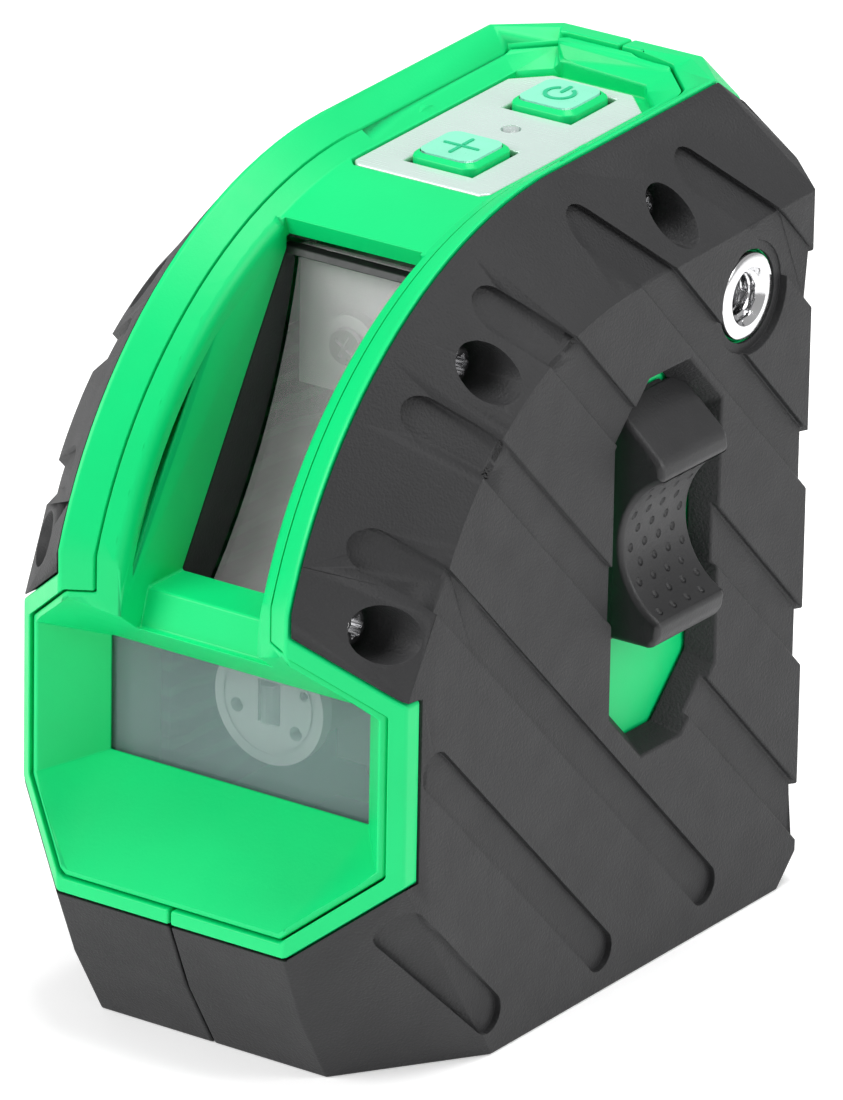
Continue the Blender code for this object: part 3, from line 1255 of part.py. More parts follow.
def centre_footprint():
    """Move everything sideways by half of what the knob stands proud."""
    for piece in bpy.data.objects:
        if piece.parent is None:
            piece.location.x -= (KNOB_OUT - HALF_WIDTH) / 2


def main():
    clear_scene()
    look = materials()
    pin_hole = (DOOR_PIVOT.y, DOOR_PIVOT.z)
    pin_reach = DOOR_HALF + CUT_PAST
    for side, word in ((-1, "left"), (1, "right")):
        skin = make_overmould(f"overmould_{word}", side, look["rubber"])
        shell = make_shell(f"shell_{word}", side, look["green"])
        for piece in (skin, shell):
            cut(piece, rod("X", pin_hole, DOOR_PIN_RADIUS + GAP, -pin_reach, pin_reach, 20))
    fascia = make_fascia(look["green"])
    cut(fascia, *keypad_holes_world(2 * GAP))
    make_keypad(look, keypad_frame())
    make_windows(look)
    make_window_frame(look["black"])
    make_bushes(look["chrome"])
    make_case_screws(look["chrome"])
    make_knob(look["black"])
    make_carriage(look["black"])
    make_carriage_screw(look["steel"])
    make_plunger(look["steel"])
    make_brake_shoe(look["rubber"])
    make_suspension(look["casting"])
    make_bracket_screw(look["steel"])
    make_gimbal(look)
    make_pendulum(look)
    make_lasers(look)
    make_balance(look)
    make_driver_board(look["board"])
    make_battery_bay(look)
    make_door(look["rubber"])
    make_door_pin(look["steel"])
    centre_footprint()


main()
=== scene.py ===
"""Looks of a self-levelling cross-line laser level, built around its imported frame."""

import math

import bmesh
import bpy
from mathutils import Matrix, Vector


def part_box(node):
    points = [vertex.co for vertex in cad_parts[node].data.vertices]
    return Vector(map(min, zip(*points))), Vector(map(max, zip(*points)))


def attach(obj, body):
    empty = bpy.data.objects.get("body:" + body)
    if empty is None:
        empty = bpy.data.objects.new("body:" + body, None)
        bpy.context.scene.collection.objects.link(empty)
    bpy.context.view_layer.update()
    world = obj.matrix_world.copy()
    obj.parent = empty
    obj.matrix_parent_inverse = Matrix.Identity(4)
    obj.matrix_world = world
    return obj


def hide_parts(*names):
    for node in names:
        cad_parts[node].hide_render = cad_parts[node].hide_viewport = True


bl_info = {
    "name": "Cross-line laser level",
    "version": (1, 0, 0),
    "blender": (4, 5, 0),
    "location": "3D View > Sidebar > Laser Level",
    "description": "Builds the looks of a self-levelling cross-line laser level",
    "category": "Object",
}

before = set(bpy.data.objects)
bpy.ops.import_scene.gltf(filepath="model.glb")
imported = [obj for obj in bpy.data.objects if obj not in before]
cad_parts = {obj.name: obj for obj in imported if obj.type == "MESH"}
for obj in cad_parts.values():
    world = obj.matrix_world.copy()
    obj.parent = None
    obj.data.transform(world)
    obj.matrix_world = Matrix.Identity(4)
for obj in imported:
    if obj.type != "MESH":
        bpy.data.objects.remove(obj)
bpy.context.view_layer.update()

MM = 0.001
CASE_NODES = ("overmould_left", "overmould_right", "shell_left", "shell_right")

# The case's places, read from the frame. The middle plane is where the two halves part.
CASE_LOW = Vector(map(min, *(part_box(node)[0] for node in CASE_NODES)))
CASE_HIGH = Vector(map(max, *(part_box(node)[1] for node in CASE_NODES)))
MIDDLE = (CASE_LOW.x + CASE_HIGH.x) / 2
HALF_WIDTH = (CASE_HIGH.x - CASE_LOW.x) / 2
FRONT = CASE_LOW.y
REAR = CASE_HIGH.y
FAR = 0.15

# Arc of the central band, which the channels' upper ends follow
ARC_RADIUS = 64 * MM
ARC_Y = FRONT + 61 * MM
ARC_Z = 49.5 * MM

# Slanting channels: where the first ones start and stop behind the front, and the others' least
# distance from the band's outline
CHANNELS = 7
CHANNEL_UPPER_STOPS = {0: 11.2 * MM, 1: 15.6 * MM}
CHANNEL_LOWER_STOPS = {0: 28.5 * MM, 1: 54.6 * MM, 2: 79.4 * MM}
CHANNEL_BAND_GAP = 6.9 * MM
CHANNEL_SEARCH_STEP = 0.1 * MM
CHANNEL_PAST_REAR = 8 * MM
CHANNEL_INNER_END = 12 * MM
FLAT_TOP_DROP = 0.6 * MM
SLIVER = 0.08 * MM    # shortest edge left on the skins

# Tall recess in the band
CREST_HALF = 17.95 * MM
VALLEY_HALF = 11.6 * MM
VALLEY_DEEP = 4.0 * MM
RECESS_HALF = 11.0 * MM
RECESS_START, RECESS_TURN = math.radians(11), math.radians(57.6)

# Keypad's deck: the plane of the band's flat top
DECK_HIGH = 113.5 * MM
DECK_LEAN = math.radians(2.385)
DECK = Matrix.Translation((MIDDLE, ARC_Y, DECK_HIGH)) @ Matrix.Rotation(DECK_LEAN, 4, "X")

# Buttons and light: places along the deck, and levels over it
BUTTONS = {"power": 26.0 * MM, "mode": 3.0 * MM}
BUTTON_TOP = -3.0 * MM
WELL_WIDE, WELL_ROUND, WELL_FLOOR = 8.9 * MM, 1.8 * MM, -3.5 * MM
CAP_WIDE, CAP_ROUND, CAP_FOOT = 8.7 * MM, 1.7 * MM, -3.45 * MM
CAP_RISE, SIGN_RISE = 0.25 * MM, 0.4 * MM
POWER_LINE, MODE_LINE = 0.55 * MM, 0.5 * MM
LIGHT_ALONG, LIGHT_RADIUS = 14.5 * MM, 1.05 * MM
LIGHT_FOOT, LIGHT_TOP = -7.2 * MM, -3.9 * MM

# Lock knob
KNOB_FACE = MIDDLE + 36 * MM
KNOB_MID_Y = FRONT + 68.15 * MM
KNOB_FOOT, KNOB_HEAD = 48.5 * MM, 82.2 * MM
KNOB_HALF = 8 * MM
KNOB_BACK = 27.6 * MM    # from the middle plane
KNOB_ROUND, KNOB_ROUND_STEPS = 0.9 * MM, 12
KNOB_SHARP = 6    # degrees; low, so that the dimples stay crisp
NECK_OUT = 28.2 * MM
SCOOP_FOOT, SCOOP_HEAD, SCOOP_DEEP = 52.5 * MM, 72.6 * MM, 6.4 * MM
SCOOP_STEPS = 32    # on either side
DIMPLE_BALL = 0.8 * MM
DIMPLE_ROWS, DIMPLE_COLUMNS, DIMPLE_STEP = 10, 4, 3.3 * MM
DIMPLE_MIDDLE = 1.75    # in columns
DIMPLE_SPREAD = 1.72    # in half angles of the scoop

# Thread bushes and case screws
THREAD_RADIUS = 3.2 * MM
BUSH_RADIUS = 6.2 * MM
BUSH_LONG = 9.5 * MM
BUSH_SIDES, THREAD_ROWS, THREAD_FADE_ROWS = 64, 60, 6
SIDE_BUSH_SUNK, SIDE_BUSH_BACK, SIDE_BUSH_HIGH = 0.9 * MM, 88 * MM, 89.5 * MM
BASE_BUSH_SUNK, BASE_BUSH_BACK = 0.2 * MM, 60 * MM
METAL_SHARP = 32    # degrees
SCREW_PLACES = ((9.1 * MM, 65.6 * MM), (31.7 * MM, 94.9 * MM), (74.0 * MM, 104.3 * MM))
SCREW_SEAT = 20.9 * MM
SCREW_HEAD = ((0, 2.75), (1.1, 2.75), (1.5, 2.6), (1.78, 2.25), (1.9, 1.95))    # x, radius in mm
SOCKET_POINTS, SOCKET_RADIUS, SOCKET_LOBE = 72, 1.45, 0.22    # radii in mm

# Face plate of the laser module; slot and holes are in mm
FACE_RADIUS = 8.8 * MM
FACE_SIDES = 96
FACE_SLOT = ((-1.8, -3), (1.8, -3), (1.8, 3), (-1.8, 3))
FACE_HOLES = ((-5.2, -1.6, 1.0), (4.4, -3.4, 1.0), (5.6, 2.2, 0.7))    # x, z, radius
GROOVE_OUTER, GROOVE_INNER, GROOVE_DEEP = 7.4 * MM, 6.9 * MM, 0.3 * MM

# Roundings: largest shares of a face's width and a neighbour's length, and the least share made
ROOM_SHARE, END_SHARE, LEAST_SHARE = 0.42, 0.6, 0.12
FACE_PULL = 60    # pull of large faces on the shading


# Settings

def colour_setting(name, description, default):
    return bpy.props.FloatVectorProperty(
        name=name, description=description, default=default, subtype="COLOR", min=0, max=1
    )


def length_setting(name, description, default):
    return bpy.props.FloatProperty(
        name=name, description=description, default=default, min=0, subtype="DISTANCE",
        unit="LENGTH",
    )


class LevelColours(bpy.types.PropertyGroup):
    """Colours of the plastics, the rubber and the windows."""

    plastic: colour_setting("Green plastic", "Colour of the band and the front", (0.0, 0.60, 0.17))
    rubber: colour_setting("Rubber", "Colour of the soft skins", (0.020, 0.020, 0.021))
    knob: colour_setting("Knob", "Colour of the lock knob", (0.014, 0.014, 0.015))
    plate: colour_setting("Keypad plate", "Colour of the silver keypad plate", (0.60, 0.72, 0.68))
    cap: colour_setting("Button cap", "Colour of the buttons' tops", (0.22, 0.72, 0.50))
    # the two window colours are partly the glass's tint and partly painted reflection: pale layers
    # that stand in for the panes' mirroring
    low_glass: colour_setting("Low window", "Tint of the low window", (0.22, 0.32, 0.32))
    tall_glass: colour_setting("Tall window", "Tint of the tall window", (0.86, 0.76, 0.82))


class LevelSizes(bpy.types.PropertyGroup):
    """Sizes of the surface details."""

    skin_round: length_setting("Skin edges", "Rounding of the rubber's edges", 0.35 * MM)
    plastic_round: length_setting(
        "Plastic edges", "Rounding of the green plastic's edges", 0.4 * MM
    )
    channel_deep: length_setting(
        "Channel depth", "How far the slanting channels are sunk", 0.95 * MM
    )
    channel_wide: length_setting("Channel width", "Width of the slanting channels", 5.8 * MM)
    channel_start: length_setting(
        "First channel", "Height plus depth of the first channel", 34.8 * MM
    )
    channel_step: length_setting(
        "Channel step", "Step in height plus depth between channels", 25.9 * MM
    )
    recess_round: length_setting("Recess edges", "Rounding of the tall recess's edges", 2.6 * MM)
    dimple_radius: length_setting("Dimple", "Radius of the dimples in the knob", 0.62 * MM)
    thread_pitch: length_setting("Thread pitch", "Pitch of the tripod thread", 1.27 * MM)
    rib_step: length_setting("Rib step", "Distance between the battery door's ribs", 2.6 * MM)


def sizes():
    return bpy.context.scene.level_sizes


def colours():
    return bpy.context.scene.level_colours


# Node arithmetic

class Wire:
    """A socket that takes part in Python arithmetic by adding Math nodes."""

    def __init__(self, graph, socket):
        self.graph = graph
        self.socket = socket

    def maths(self, operation, first, second=None):
        return self.graph.maths(operation, first, second)

    def __add__(self, other):
        return self.maths("ADD", self, other)

    __radd__ = __add__

    def __sub__(self, other):
        return self.maths("SUBTRACT", self, other)

    def __rsub__(self, other):
        return self.maths("SUBTRACT", other, self)

    def __mul__(self, other):
        return self.maths("MULTIPLY", self, other)

    __rmul__ = __mul__

    def __truediv__(self, other):
        return self.maths("DIVIDE", self, other)

    def above(self, limit):
        return self.maths("GREATER_THAN", self, limit)

    def power(self, exponent):
        return self.maths("POWER", self, exponent)


class Graph:
    """A node tree with one method that adds a node, sets it and wires it."""

    def __init__(self, tree):
        self.tree = tree

    def add(self, kind, settings=None, values=None, output=0):
        node = self.tree.nodes.new(kind)
        for name, value in (settings or {}).items():
            if name == "stops":
                self.set_stops(node.color_ramp, value)
            else:
                setattr(node, name, value)
        for key, value in (values or {}).items():
            self.feed(node.inputs[key], value)
        return Wire(self, node.outputs[output])

    def feed(self, socket, value):
        if isinstance(value, Wire):
            self.tree.links.new(value.socket, socket)
        else:
            socket.default_value = value

    def set_stops(self, ramp, stops):
        while len(ramp.elements) < len(stops):
            ramp.elements.new(0.5)
        for element, (position, colour) in zip(ramp.elements, stops):
            element.position = position
            element.color = colour

    def maths(self, operation, first, second=None):
        values = {0: first} if second is None else {0: first, 1: second}
        return self.add("ShaderNodeMath", {"operation": operation}, values)

    def mix(self, share, first, second):
        """Colour between first and second."""
        values = {"Factor": share, 6: first, 7: second}
        return self.add("ShaderNodeMix", {"data_type": "RGBA"}, values, output=2)


class Finish(Graph):
    """A material's graph around one Principled shader."""

    def __init__(self, name, colour, roughness, metallic=0.0, **sockets):
        self.material = bpy.data.materials.new(name)
        self.material.use_nodes = True
        self.material.diffuse_color = (*colour, 1)
        super().__init__(self.material.node_tree)
        self.shader = self.tree.nodes["Principled BSDF"]
        self.place = self.add("ShaderNodeTexCoord", output="Object")
        self.set("Base Color", (*colour, 1))
        self.set("Roughness", roughness)
        self.set("Metallic", metallic)
        for socket, value in sockets.items():
            self.set(socket.replace("_", " "), value)

    def set(self, socket, value):
        self.feed(self.shader.inputs[socket], value)

    def noise(self, size, detail=2.0, stretch=(1, 1, 1)):
        """Noise from 0 to 1 whose features are about this long, in metres."""
        place = self.place
        if stretch != (1, 1, 1):
            place = self.add("ShaderNodeMapping", values={"Vector": place, "Scale": stretch})
        values = {"Vector": place, "Scale": 1 / size, "Detail": detail}
        return self.add("ShaderNodeTexNoise", values=values)

    def cells(self, size):
        """Distance to the nearest of many scattered points, in features of this size."""
        return self.add("ShaderNodeTexVoronoi", values={"Vector": self.place, "Scale": 1 / size})

    def clouds(self, size, low, high):
        """Slow change between low and high."""
        return low + (high - low) * self.noise(size, 3.0)

    def bump(self, height, distance, strength=1.0):
        values = {"Height": height, "Distance": distance, "Strength": strength}
        self.set("Normal", self.add("ShaderNodeBump", values=values))

    def tone(self, amount, size, dark, light):
        """Colour that drifts between two near tones."""
        share = self.noise(size, 4.0) * amount
        self.set("Base Color", self.mix(share, (*dark, 1), (*light, 1)))


def scaled(colour, factor):
    """Colour made darker or lighter."""
    return tuple(min(1.0, channel * factor) for channel in colour)


def green_plastic(name):
    """Satin moulded plastic with a fine spark texture."""
    colour = tuple(colours().plastic)
    finish = Finish(name, colour, 0.38, Specular_IOR_Level=0.3)
    finish.tone(1.0, 14 * MM, scaled(colour, 0.93), scaled(colour, 1.07))
    finish.set("Roughness", finish.clouds(3 * MM, 0.34, 0.46))
    finish.bump(finish.noise(0.45 * MM, 2.0) + 0.4 * finish.noise(0.18 * MM), 0.012 * MM)
    return finish.material


def black_rubber(name):
    """Soft-touch skin with a fine grain, paler where dust and hands have rubbed it."""
    colour = tuple(colours().rubber)
    finish = Finish(name, colour, 0.6, Specular_IOR_Level=0.32)
    rubbed = finish.noise(9 * MM, 5.0).power(2.0)
    specks = (0.22 - finish.cells(0.9 * MM)).above(0.12) * 0.35
    pale = (*scaled(colour, 1.7), 1)
    finish.set("Base Color", finish.mix(rubbed * 0.6 + specks, (*colour, 1), pale))
    finish.set("Roughness", finish.clouds(5 * MM, 0.5, 0.64))
    grain = finish.noise(0.42 * MM, 3.0) - 0.5 * finish.cells(0.34 * MM)
    finish.bump(grain, 0.09 * MM)
    return finish.material


def black_plastic(name):
    """Hard textured black plastic."""
    colour = tuple(colours().knob)
    finish = Finish(name, colour, 0.45, Specular_IOR_Level=0.5)
    finish.tone(1.0, 6 * MM, scaled(colour, 0.8), scaled(colour, 1.5))
    finish.set("Roughness", finish.clouds(2 * MM, 0.4, 0.55))
    finish.bump(finish.noise(0.4 * MM, 2.0), 0.05 * MM)
    return finish.material


def glass(name, colour, alpha):
    """Tinted pane with a faint haze. For the two windows the colour is part real tint and part
    painted reflection, a pale layer laid over the pane.
    """
    finish = Finish(name, colour, 0.06, Specular_IOR_Level=0.6)
    finish.tone(1.0, 20 * MM, scaled(colour, 0.9), scaled(colour, 1.1))
    haze = finish.noise(7 * MM, 4.0) * 0.08
    finish.set("Roughness", 0.03 + haze)
    finish.set("Alpha", alpha + haze)
    return finish.material


def keypad_silver(name):
    """Pearly silver plate with a fine brushed lacquer."""
    colour = tuple(colours().plate)
    finish = Finish(name, colour, 0.22, 0.25, Coat_Weight=0.5, Coat_Roughness=0.08)
    finish.tone(1.0, 10 * MM, scaled(colour, 0.94), scaled(colour, 1.06))
    streaks = finish.noise(0.4 * MM, 2.0, stretch=(0.05, 1, 1))
    finish.set("Roughness", 0.2 + 0.12 * streaks)
    finish.bump(streaks, 0.004 * MM)
    return finish.material


def button_cap(name):
    """Glossy mint plastic."""
    colour = tuple(colours().cap)
    finish = Finish(name, colour, 0.3, Coat_Weight=0.3)
    finish.tone(1.0, 4 * MM, scaled(colour, 0.9), scaled(colour, 1.08))
    finish.set("Roughness", finish.clouds(1.5 * MM, 0.24, 0.36))
    finish.bump(finish.noise(0.5 * MM), 0.006 * MM)
    return finish.material


def button_symbol(name):
    """Dark green print."""
    finish = Finish(name, (0.0, 0.45, 0.2), 0.4)
    finish.tone(1.0, 2 * MM, (0.0, 0.40, 0.18), (0.02, 0.52, 0.26))
    finish.bump(finish.noise(0.3 * MM), 0.005 * MM)
    return finish.material


def metal(name, colour, low, high, scratch, stretch=(1, 1, 1)):
    """Bare or plated metal with fine scratches along its turning."""
    finish = Finish(name, colour, low, 1.0)
    finish.tone(1.0, 5 * MM, scaled(colour, 0.88), scaled(colour, 1.05))
    lines = finish.noise(scratch, 3.0, stretch)
    finish.set("Roughness", low + (high - low) * lines)
    finish.bump(lines, 0.006 * MM)
    return finish.material


def casting(name):
    """Grey casting with a sandy skin."""
    finish = Finish(name, (0.7, 0.7, 0.7), 0.5, 0.2)
    finish.tone(1.0, 3 * MM, (0.62, 0.62, 0.63), (0.78, 0.78, 0.78))
    finish.set("Roughness", finish.clouds(1 * MM, 0.42, 0.6))
    finish.bump(finish.noise(0.35 * MM, 3.0), 0.05 * MM)
    return finish.material


def pale_plastic(name):
    """Light grey plastic of the laser module's face plate."""
    finish = Finish(name, (0.72, 0.72, 0.72), 0.4)
    finish.tone(1.0, 5 * MM, (0.66, 0.66, 0.67), (0.78, 0.78, 0.78))
    finish.set("Roughness", finish.clouds(2 * MM, 0.34, 0.5))
    finish.bump(finish.noise(0.5 * MM), 0.02 * MM)
    return finish.material


def circuit_board(name):
    """Solder mask over wavy raised tracks."""
    finish = Finish(name, (0.01, 0.13, 0.05), 0.35)
    track = finish.add("ShaderNodeTexWave", {"bands_direction": "Z"}, {
        "Vector": finish.place, "Scale": 1 / (12 * MM), "Distortion": 3.0,
    })
    raised = track.above(0.7)
    finish.set("Base Color", finish.mix(raised, (0.01, 0.1, 0.04, 1), (0.03, 0.2, 0.08, 1)))
    finish.set("Roughness", finish.clouds(2 * MM, 0.3, 0.45))
    finish.bump(raised, 0.03 * MM)
    return finish.material


def cell_sleeve(name):
    """Printed sleeve with a plain bright band at the top."""
    finish = Finish(name, (0.1, 0.12, 0.2), 0.3)
    height = finish.add("ShaderNodeSeparateXYZ", values={"Vector": finish.place}, output="Z")
    at_top = height.above(47 * MM)
    finish.set("Base Color", finish.mix(at_top, (0.06, 0.07, 0.1, 1), (0.6, 0.35, 0.12, 1)))
    finish.set("Roughness", finish.clouds(3 * MM, 0.25, 0.38))
    finish.bump(finish.noise(1 * MM), 0.01 * MM)
    return finish.material


def studio_floor(name):
    """Matt white floor with a faint glow."""
    finish = Finish(name, (0.92, 0.92, 0.92), 0.9, Specular_IOR_Level=0.1, Emission_Strength=0.3)
    finish.set("Emission Color", (1, 1, 1, 1))
    finish.tone(1.0, 0.4, (0.91, 0.91, 0.91), (0.93, 0.93, 0.93))
    return finish.material


# Colour, least and most roughness, scratch length and stretch
METALS = {
    "chrome": ((0.83, 0.83, 0.84), 0.05, 0.2, 0.6 * MM, (6, 1, 1)),
    "steel": ((0.6, 0.6, 0.61), 0.2, 0.42, 0.5 * MM),
    "brass": ((0.75, 0.56, 0.24), 0.2, 0.36, 0.4 * MM, (1, 8, 1)),
    "barrel": ((0.62, 0.61, 0.57), 0.22, 0.4, 0.4 * MM, (1, 8, 1)),
    "copper": ((0.8, 0.42, 0.28), 0.28, 0.42, 0.6 * MM),
    "plated_magnet": ((0.4, 0.4, 0.42), 0.16, 0.3, 0.8 * MM),
}
MAKERS = {maker.__name__: maker for maker in (
    green_plastic, black_rubber, black_plastic, keypad_silver, button_cap, button_symbol, casting,
    pale_plastic, circuit_board, cell_sleeve, studio_floor,
)}
MAKERS.update({name: lambda label, look=look: metal(label, *look) for name, look in METALS.items()})
MAKERS.update({
    "brake_rubber": black_rubber,
    # low and tall panes: their colour, laid over at this alpha, is partly tint and partly painted
    # reflection
    "low_glass": lambda label: glass(label, tuple(colours().low_glass), 0.3),
    "tall_glass": lambda label: glass(label, tuple(colours().tall_glass), 0.2),
    "lens_glass": lambda label: glass(label, (0.75, 0.8, 0.8), 0.35),
})


def finish_named(name):
    """The material of this name, made the first time that it is asked for."""
    label = f"level_{name}"
    return bpy.data.materials.get(label) or MAKERS[name](label)


# Solids

def cad_copy(*nodes):
    """Copy of CAD nodes as one mesh with its points merged and its flat faces whole."""
    solid = bmesh.new()
    for node in nodes:
        solid.from_mesh(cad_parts[node].data)
    tidy(solid)
    return solid


def tidy(solid):
    """Merge doubled points and join the faces that lie in one plane."""
    bmesh.ops.remove_doubles(solid, verts=solid.verts, dist=1e-6)
    bmesh.ops.dissolve_degenerate(solid, edges=solid.edges, dist=1e-6)
    bmesh.ops.dissolve_limit(
        solid, angle_limit=math.radians(0.4), verts=solid.verts, edges=solid.edges
    )


def hull(points):
    """Convex solid around the points."""
    solid = bmesh.new()
    for point in points:
        solid.verts.new(point)
    found = bmesh.ops.convex_hull(solid, input=solid.verts)
    unused = {item for key in ("geom_interior", "geom_unused") for item in found[key]}
    bmesh.ops.delete(solid, geom=[v for v in unused if isinstance(v, bmesh.types.BMVert)])
    bmesh.ops.dissolve_limit(
        solid, angle_limit=math.radians(0.05), verts=solid.verts, edges=solid.edges
    )
    bmesh.ops.recalc_face_normals(solid, faces=solid.faces)
    solid.normal_update()
    return solid


def case_form(inset):
    """The case's convex outer form with every face moved inwards.

    Each plane is a point of the dual body, and each face of the dual's hull is a corner of the
    form. The hull's smallest faces are left out, as their directions are unsure.
    """
    outer = hull([v.co for node in CASE_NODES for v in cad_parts[node].data.vertices])
    centre = Vector((MIDDLE, (FRONT + REAR) / 2, CASE_HIGH.z / 2))
    planes = []
    for face in outer.faces:
        if face.calc_area() < 1 * MM**2:
            continue
        reach = face.normal.dot(face.verts[0].co - centre) - inset
        planes.append(face.normal / reach)
    outer.free()
    dual = hull(planes)
    corners = [centre + face.normal / face.normal.dot(face.verts[0].co) for face in dual.faces]
    dual.free()
    return hull(corners)


def loft(rings, closed=False):
    """Solid through rings of equally many points, capped at both ends unless it closes."""
    solid = bmesh.new()
    rows = [[solid.verts.new(point) for point in ring] for ring in rings]
    pairs = list(zip(rows, rows[1:]))
    if closed:
        pairs.append((rows[-1], rows[0]))
    else:
        solid.faces.new(rows[0])
        solid.faces.new(rows[-1])
    for low, high in pairs:
        for i in range(len(low)):
            j = (i + 1) % len(low)
            solid.faces.new((low[i], low[j], high[j], high[i]))
    bmesh.ops.recalc_face_normals(solid, faces=solid.faces)
    return solid


def prism(outline, axis, low, high):
    """Outline of (first, second) pairs extruded along an axis.

    The pairs are (y, z) for X, (x, z) for Y and (x, y) for Z.
    """
    places = {"X": (1, 2, 0), "Y": (0, 2, 1), "Z": (0, 1, 2)}[axis]
    rings = []
    for level in (low, high):
        ring = []
        for first, second in outline:
            point = [0.0, 0.0, 0.0]
            point[places[0]], point[places[1]], point[places[2]] = first, second, level
            ring.append(point)
        rings.append(ring)
    return loft(rings)


def box(low, high):
    outline = [(low[0], low[1]), (high[0], low[1]), (high[0], high[1]), (low[0], high[1])]
    return prism(outline, "Z", low[2], high[2])


def circle(radius, centre=(0.0, 0.0), sides=48, start=0.0):
    turns = [start + 2 * math.pi * i / sides for i in range(sides)]
    return [on_circle(centre, radius, turn) for turn in turns]


def on_circle(centre, radius, angle):
    return (centre[0] + radius * math.cos(angle), centre[1] + radius * math.sin(angle))


def rounded_box(width, length, radius, sides=8):
    """Outline of a rounded rectangle around the middle."""
    points = []
    for turn, (x, y) in enumerate(((1, 1), (-1, 1), (-1, -1), (1, -1))):
        centre = (x * (width / 2 - radius), y * (length / 2 - radius))
        for i in range(sides + 1):
            points.append(on_circle(centre, radius, (turn + i / sides) * math.pi / 2))
    return points


def capsule(start, end, radius, sides=12):
    """Outline of a straight slot with round ends."""
    lean = math.atan2(end[1] - start[1], end[0] - start[0])
    points = []
    for centre, turn in ((end, -math.pi / 2), (start, math.pi / 2)):
        for i in range(sides + 1):
            points.append(on_circle(centre, radius, lean + turn + math.pi * i / sides))
    return points


def merged(solids):
    """Several separate solids as one mesh."""
    whole = bmesh.new()
    for solid in solids:
        spare = bpy.data.meshes.new("spare")
        solid.to_mesh(spare)
        solid.free()
        whole.from_mesh(spare)
        bpy.data.meshes.remove(spare)
    return whole


# Objects

def place_object(name, mesh):
    made = bpy.data.objects.new(name, mesh)
    bpy.context.scene.collection.objects.link(made)
    return made


def mesh_of(name, solid):
    mesh = bpy.data.meshes.new(name)
    solid.to_mesh(mesh)
    solid.free()
    return mesh


def settle(made):
    """Replace the object's mesh by what its modifiers make of it, and remove them."""
    graph = bpy.context.evaluated_depsgraph_get()
    mesh = bpy.data.meshes.new_from_object(
        made.evaluated_get(graph), preserve_all_data_layers=True, depsgraph=graph
    )
    made.modifiers.clear()
    old = made.data
    made.data = mesh
    mesh.name = made.name
    bpy.data.meshes.remove(old)
    return made


def discard(spare):
    """Remove an object along with its mesh."""
    mesh = spare.data
    bpy.data.objects.remove(spare)
    bpy.data.meshes.remove(mesh)


def solid_of(made):
    """The object's mesh as a solid. The object is used up."""
    solid = bmesh.new()
    solid.from_mesh(made.data)
    discard(made)
    return solid


def carve(solid, cutters=(), joined=(), kept=()):
    """The solid after Booleans with other solids, which are used up."""
    target = place_object("carved", mesh_of("carved", solid))
    tools = []
    steps = (("UNION", joined), ("DIFFERENCE", cutters), ("INTERSECT", kept))
    for operation, solids in steps:
        for other in solids:
            tool = place_object("tool", mesh_of("tool", other))
            modifier = target.modifiers.new("step", "BOOLEAN")
            modifier.operation = operation
            modifier.solver = "EXACT"
            modifier.object = tool
            tools.append(tool)
    made = solid_of(settle(target))
    tidy(made)
    for tool in tools:
        discard(tool)
    return made


def mark_edges(mesh, rounding, angle):
    """Weight the sharp edges by how much bevel they have room for, so that no face folds over."""
    solid = bmesh.new()
    solid.from_mesh(mesh)
    layer = solid.edges.layers.float.new("bevel_weight_edge")
    for edge in solid.edges:
        if len(edge.link_faces) != 2 or edge.calc_face_angle(0) < math.radians(angle):
            continue
        room = min(clear_width(face, edge) for face in edge.link_faces)
        ends = min(
            (other.calc_length() for vert in edge.verts for other in vert.link_edges), default=0
        )
        fit = min(1.0, ROOM_SHARE * room / rounding, END_SHARE * ends / rounding)
        edge[layer] = fit if fit > LEAST_SHARE else 0.0
    solid.to_mesh(mesh)
    solid.free()


def clear_width(face, edge):
    """Least distance from an edge's line to the face's other corners, off that line."""
    start, end = (vert.co for vert in edge.verts)
    along = (end - start).normalized()
    gaps = []
    for vert in face.verts:
        offset = vert.co - start
        gap = (offset - along * offset.dot(along)).length
        if gap > 0.02 * MM:
            gaps.append(gap)
    return min(gaps, default=0.0)


def piece(name, solid, finish, body, replaces=(), rounding=0.0, segments=3, angle=24):
    """Finished piece: rounded edges, smooth shading, material and body."""
    made = place_object(name, mesh_of(name, solid))
    made.data.materials.clear()
    made.data.materials.append(finish_named(finish))
    made.data.polygons.foreach_set("material_index", [0] * len(made.data.polygons))
    made.data.shade_smooth()
    if rounding:
        mark_edges(made.data, rounding, angle)
        bevel = made.modifiers.new("round", "BEVEL")
        bevel.width = rounding
        bevel.segments = segments
        bevel.limit_method = "WEIGHT"
        bevel.use_clamp_overlap = False
        weights = made.modifiers.new("weights", "WEIGHTED_NORMAL")
        weights.weight = FACE_PULL
        weights.keep_sharp = True
        settle(made)
    else:
        made.data.set_sharp_from_angle(angle=math.radians(angle))
    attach(made, body)
    if replaces:
        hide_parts(*replaces)
    return made


# Case

def band_depth(y, z):
    """How far a place in the side view lies inside the band's outline."""
    if y > ARC_Y:
        return CASE_HIGH.z - FLAT_TOP_DROP - z
    return ARC_RADIUS - math.hypot(y - ARC_Y, z - ARC_Z)


def channel_ends(index):
    """Ends (y, z) of a channel's middle line.

    The line falls to the rear at 45 degrees. Its upper end stops just inside the band, and its
    lower end above the heel or past the rear.
    """
    total = sizes().channel_start + sizes().channel_step * index
    if index in CHANNEL_UPPER_STOPS:
        back = CHANNEL_UPPER_STOPS[index]
    else:
        back = 0.0
        while band_depth(FRONT + back, total - back) < CHANNEL_BAND_GAP:
            back += CHANNEL_SEARCH_STEP
    foot = CHANNEL_LOWER_STOPS.get(index, REAR - FRONT + CHANNEL_PAST_REAR)
    return (FRONT + back, total - back), (FRONT + foot, total - foot)


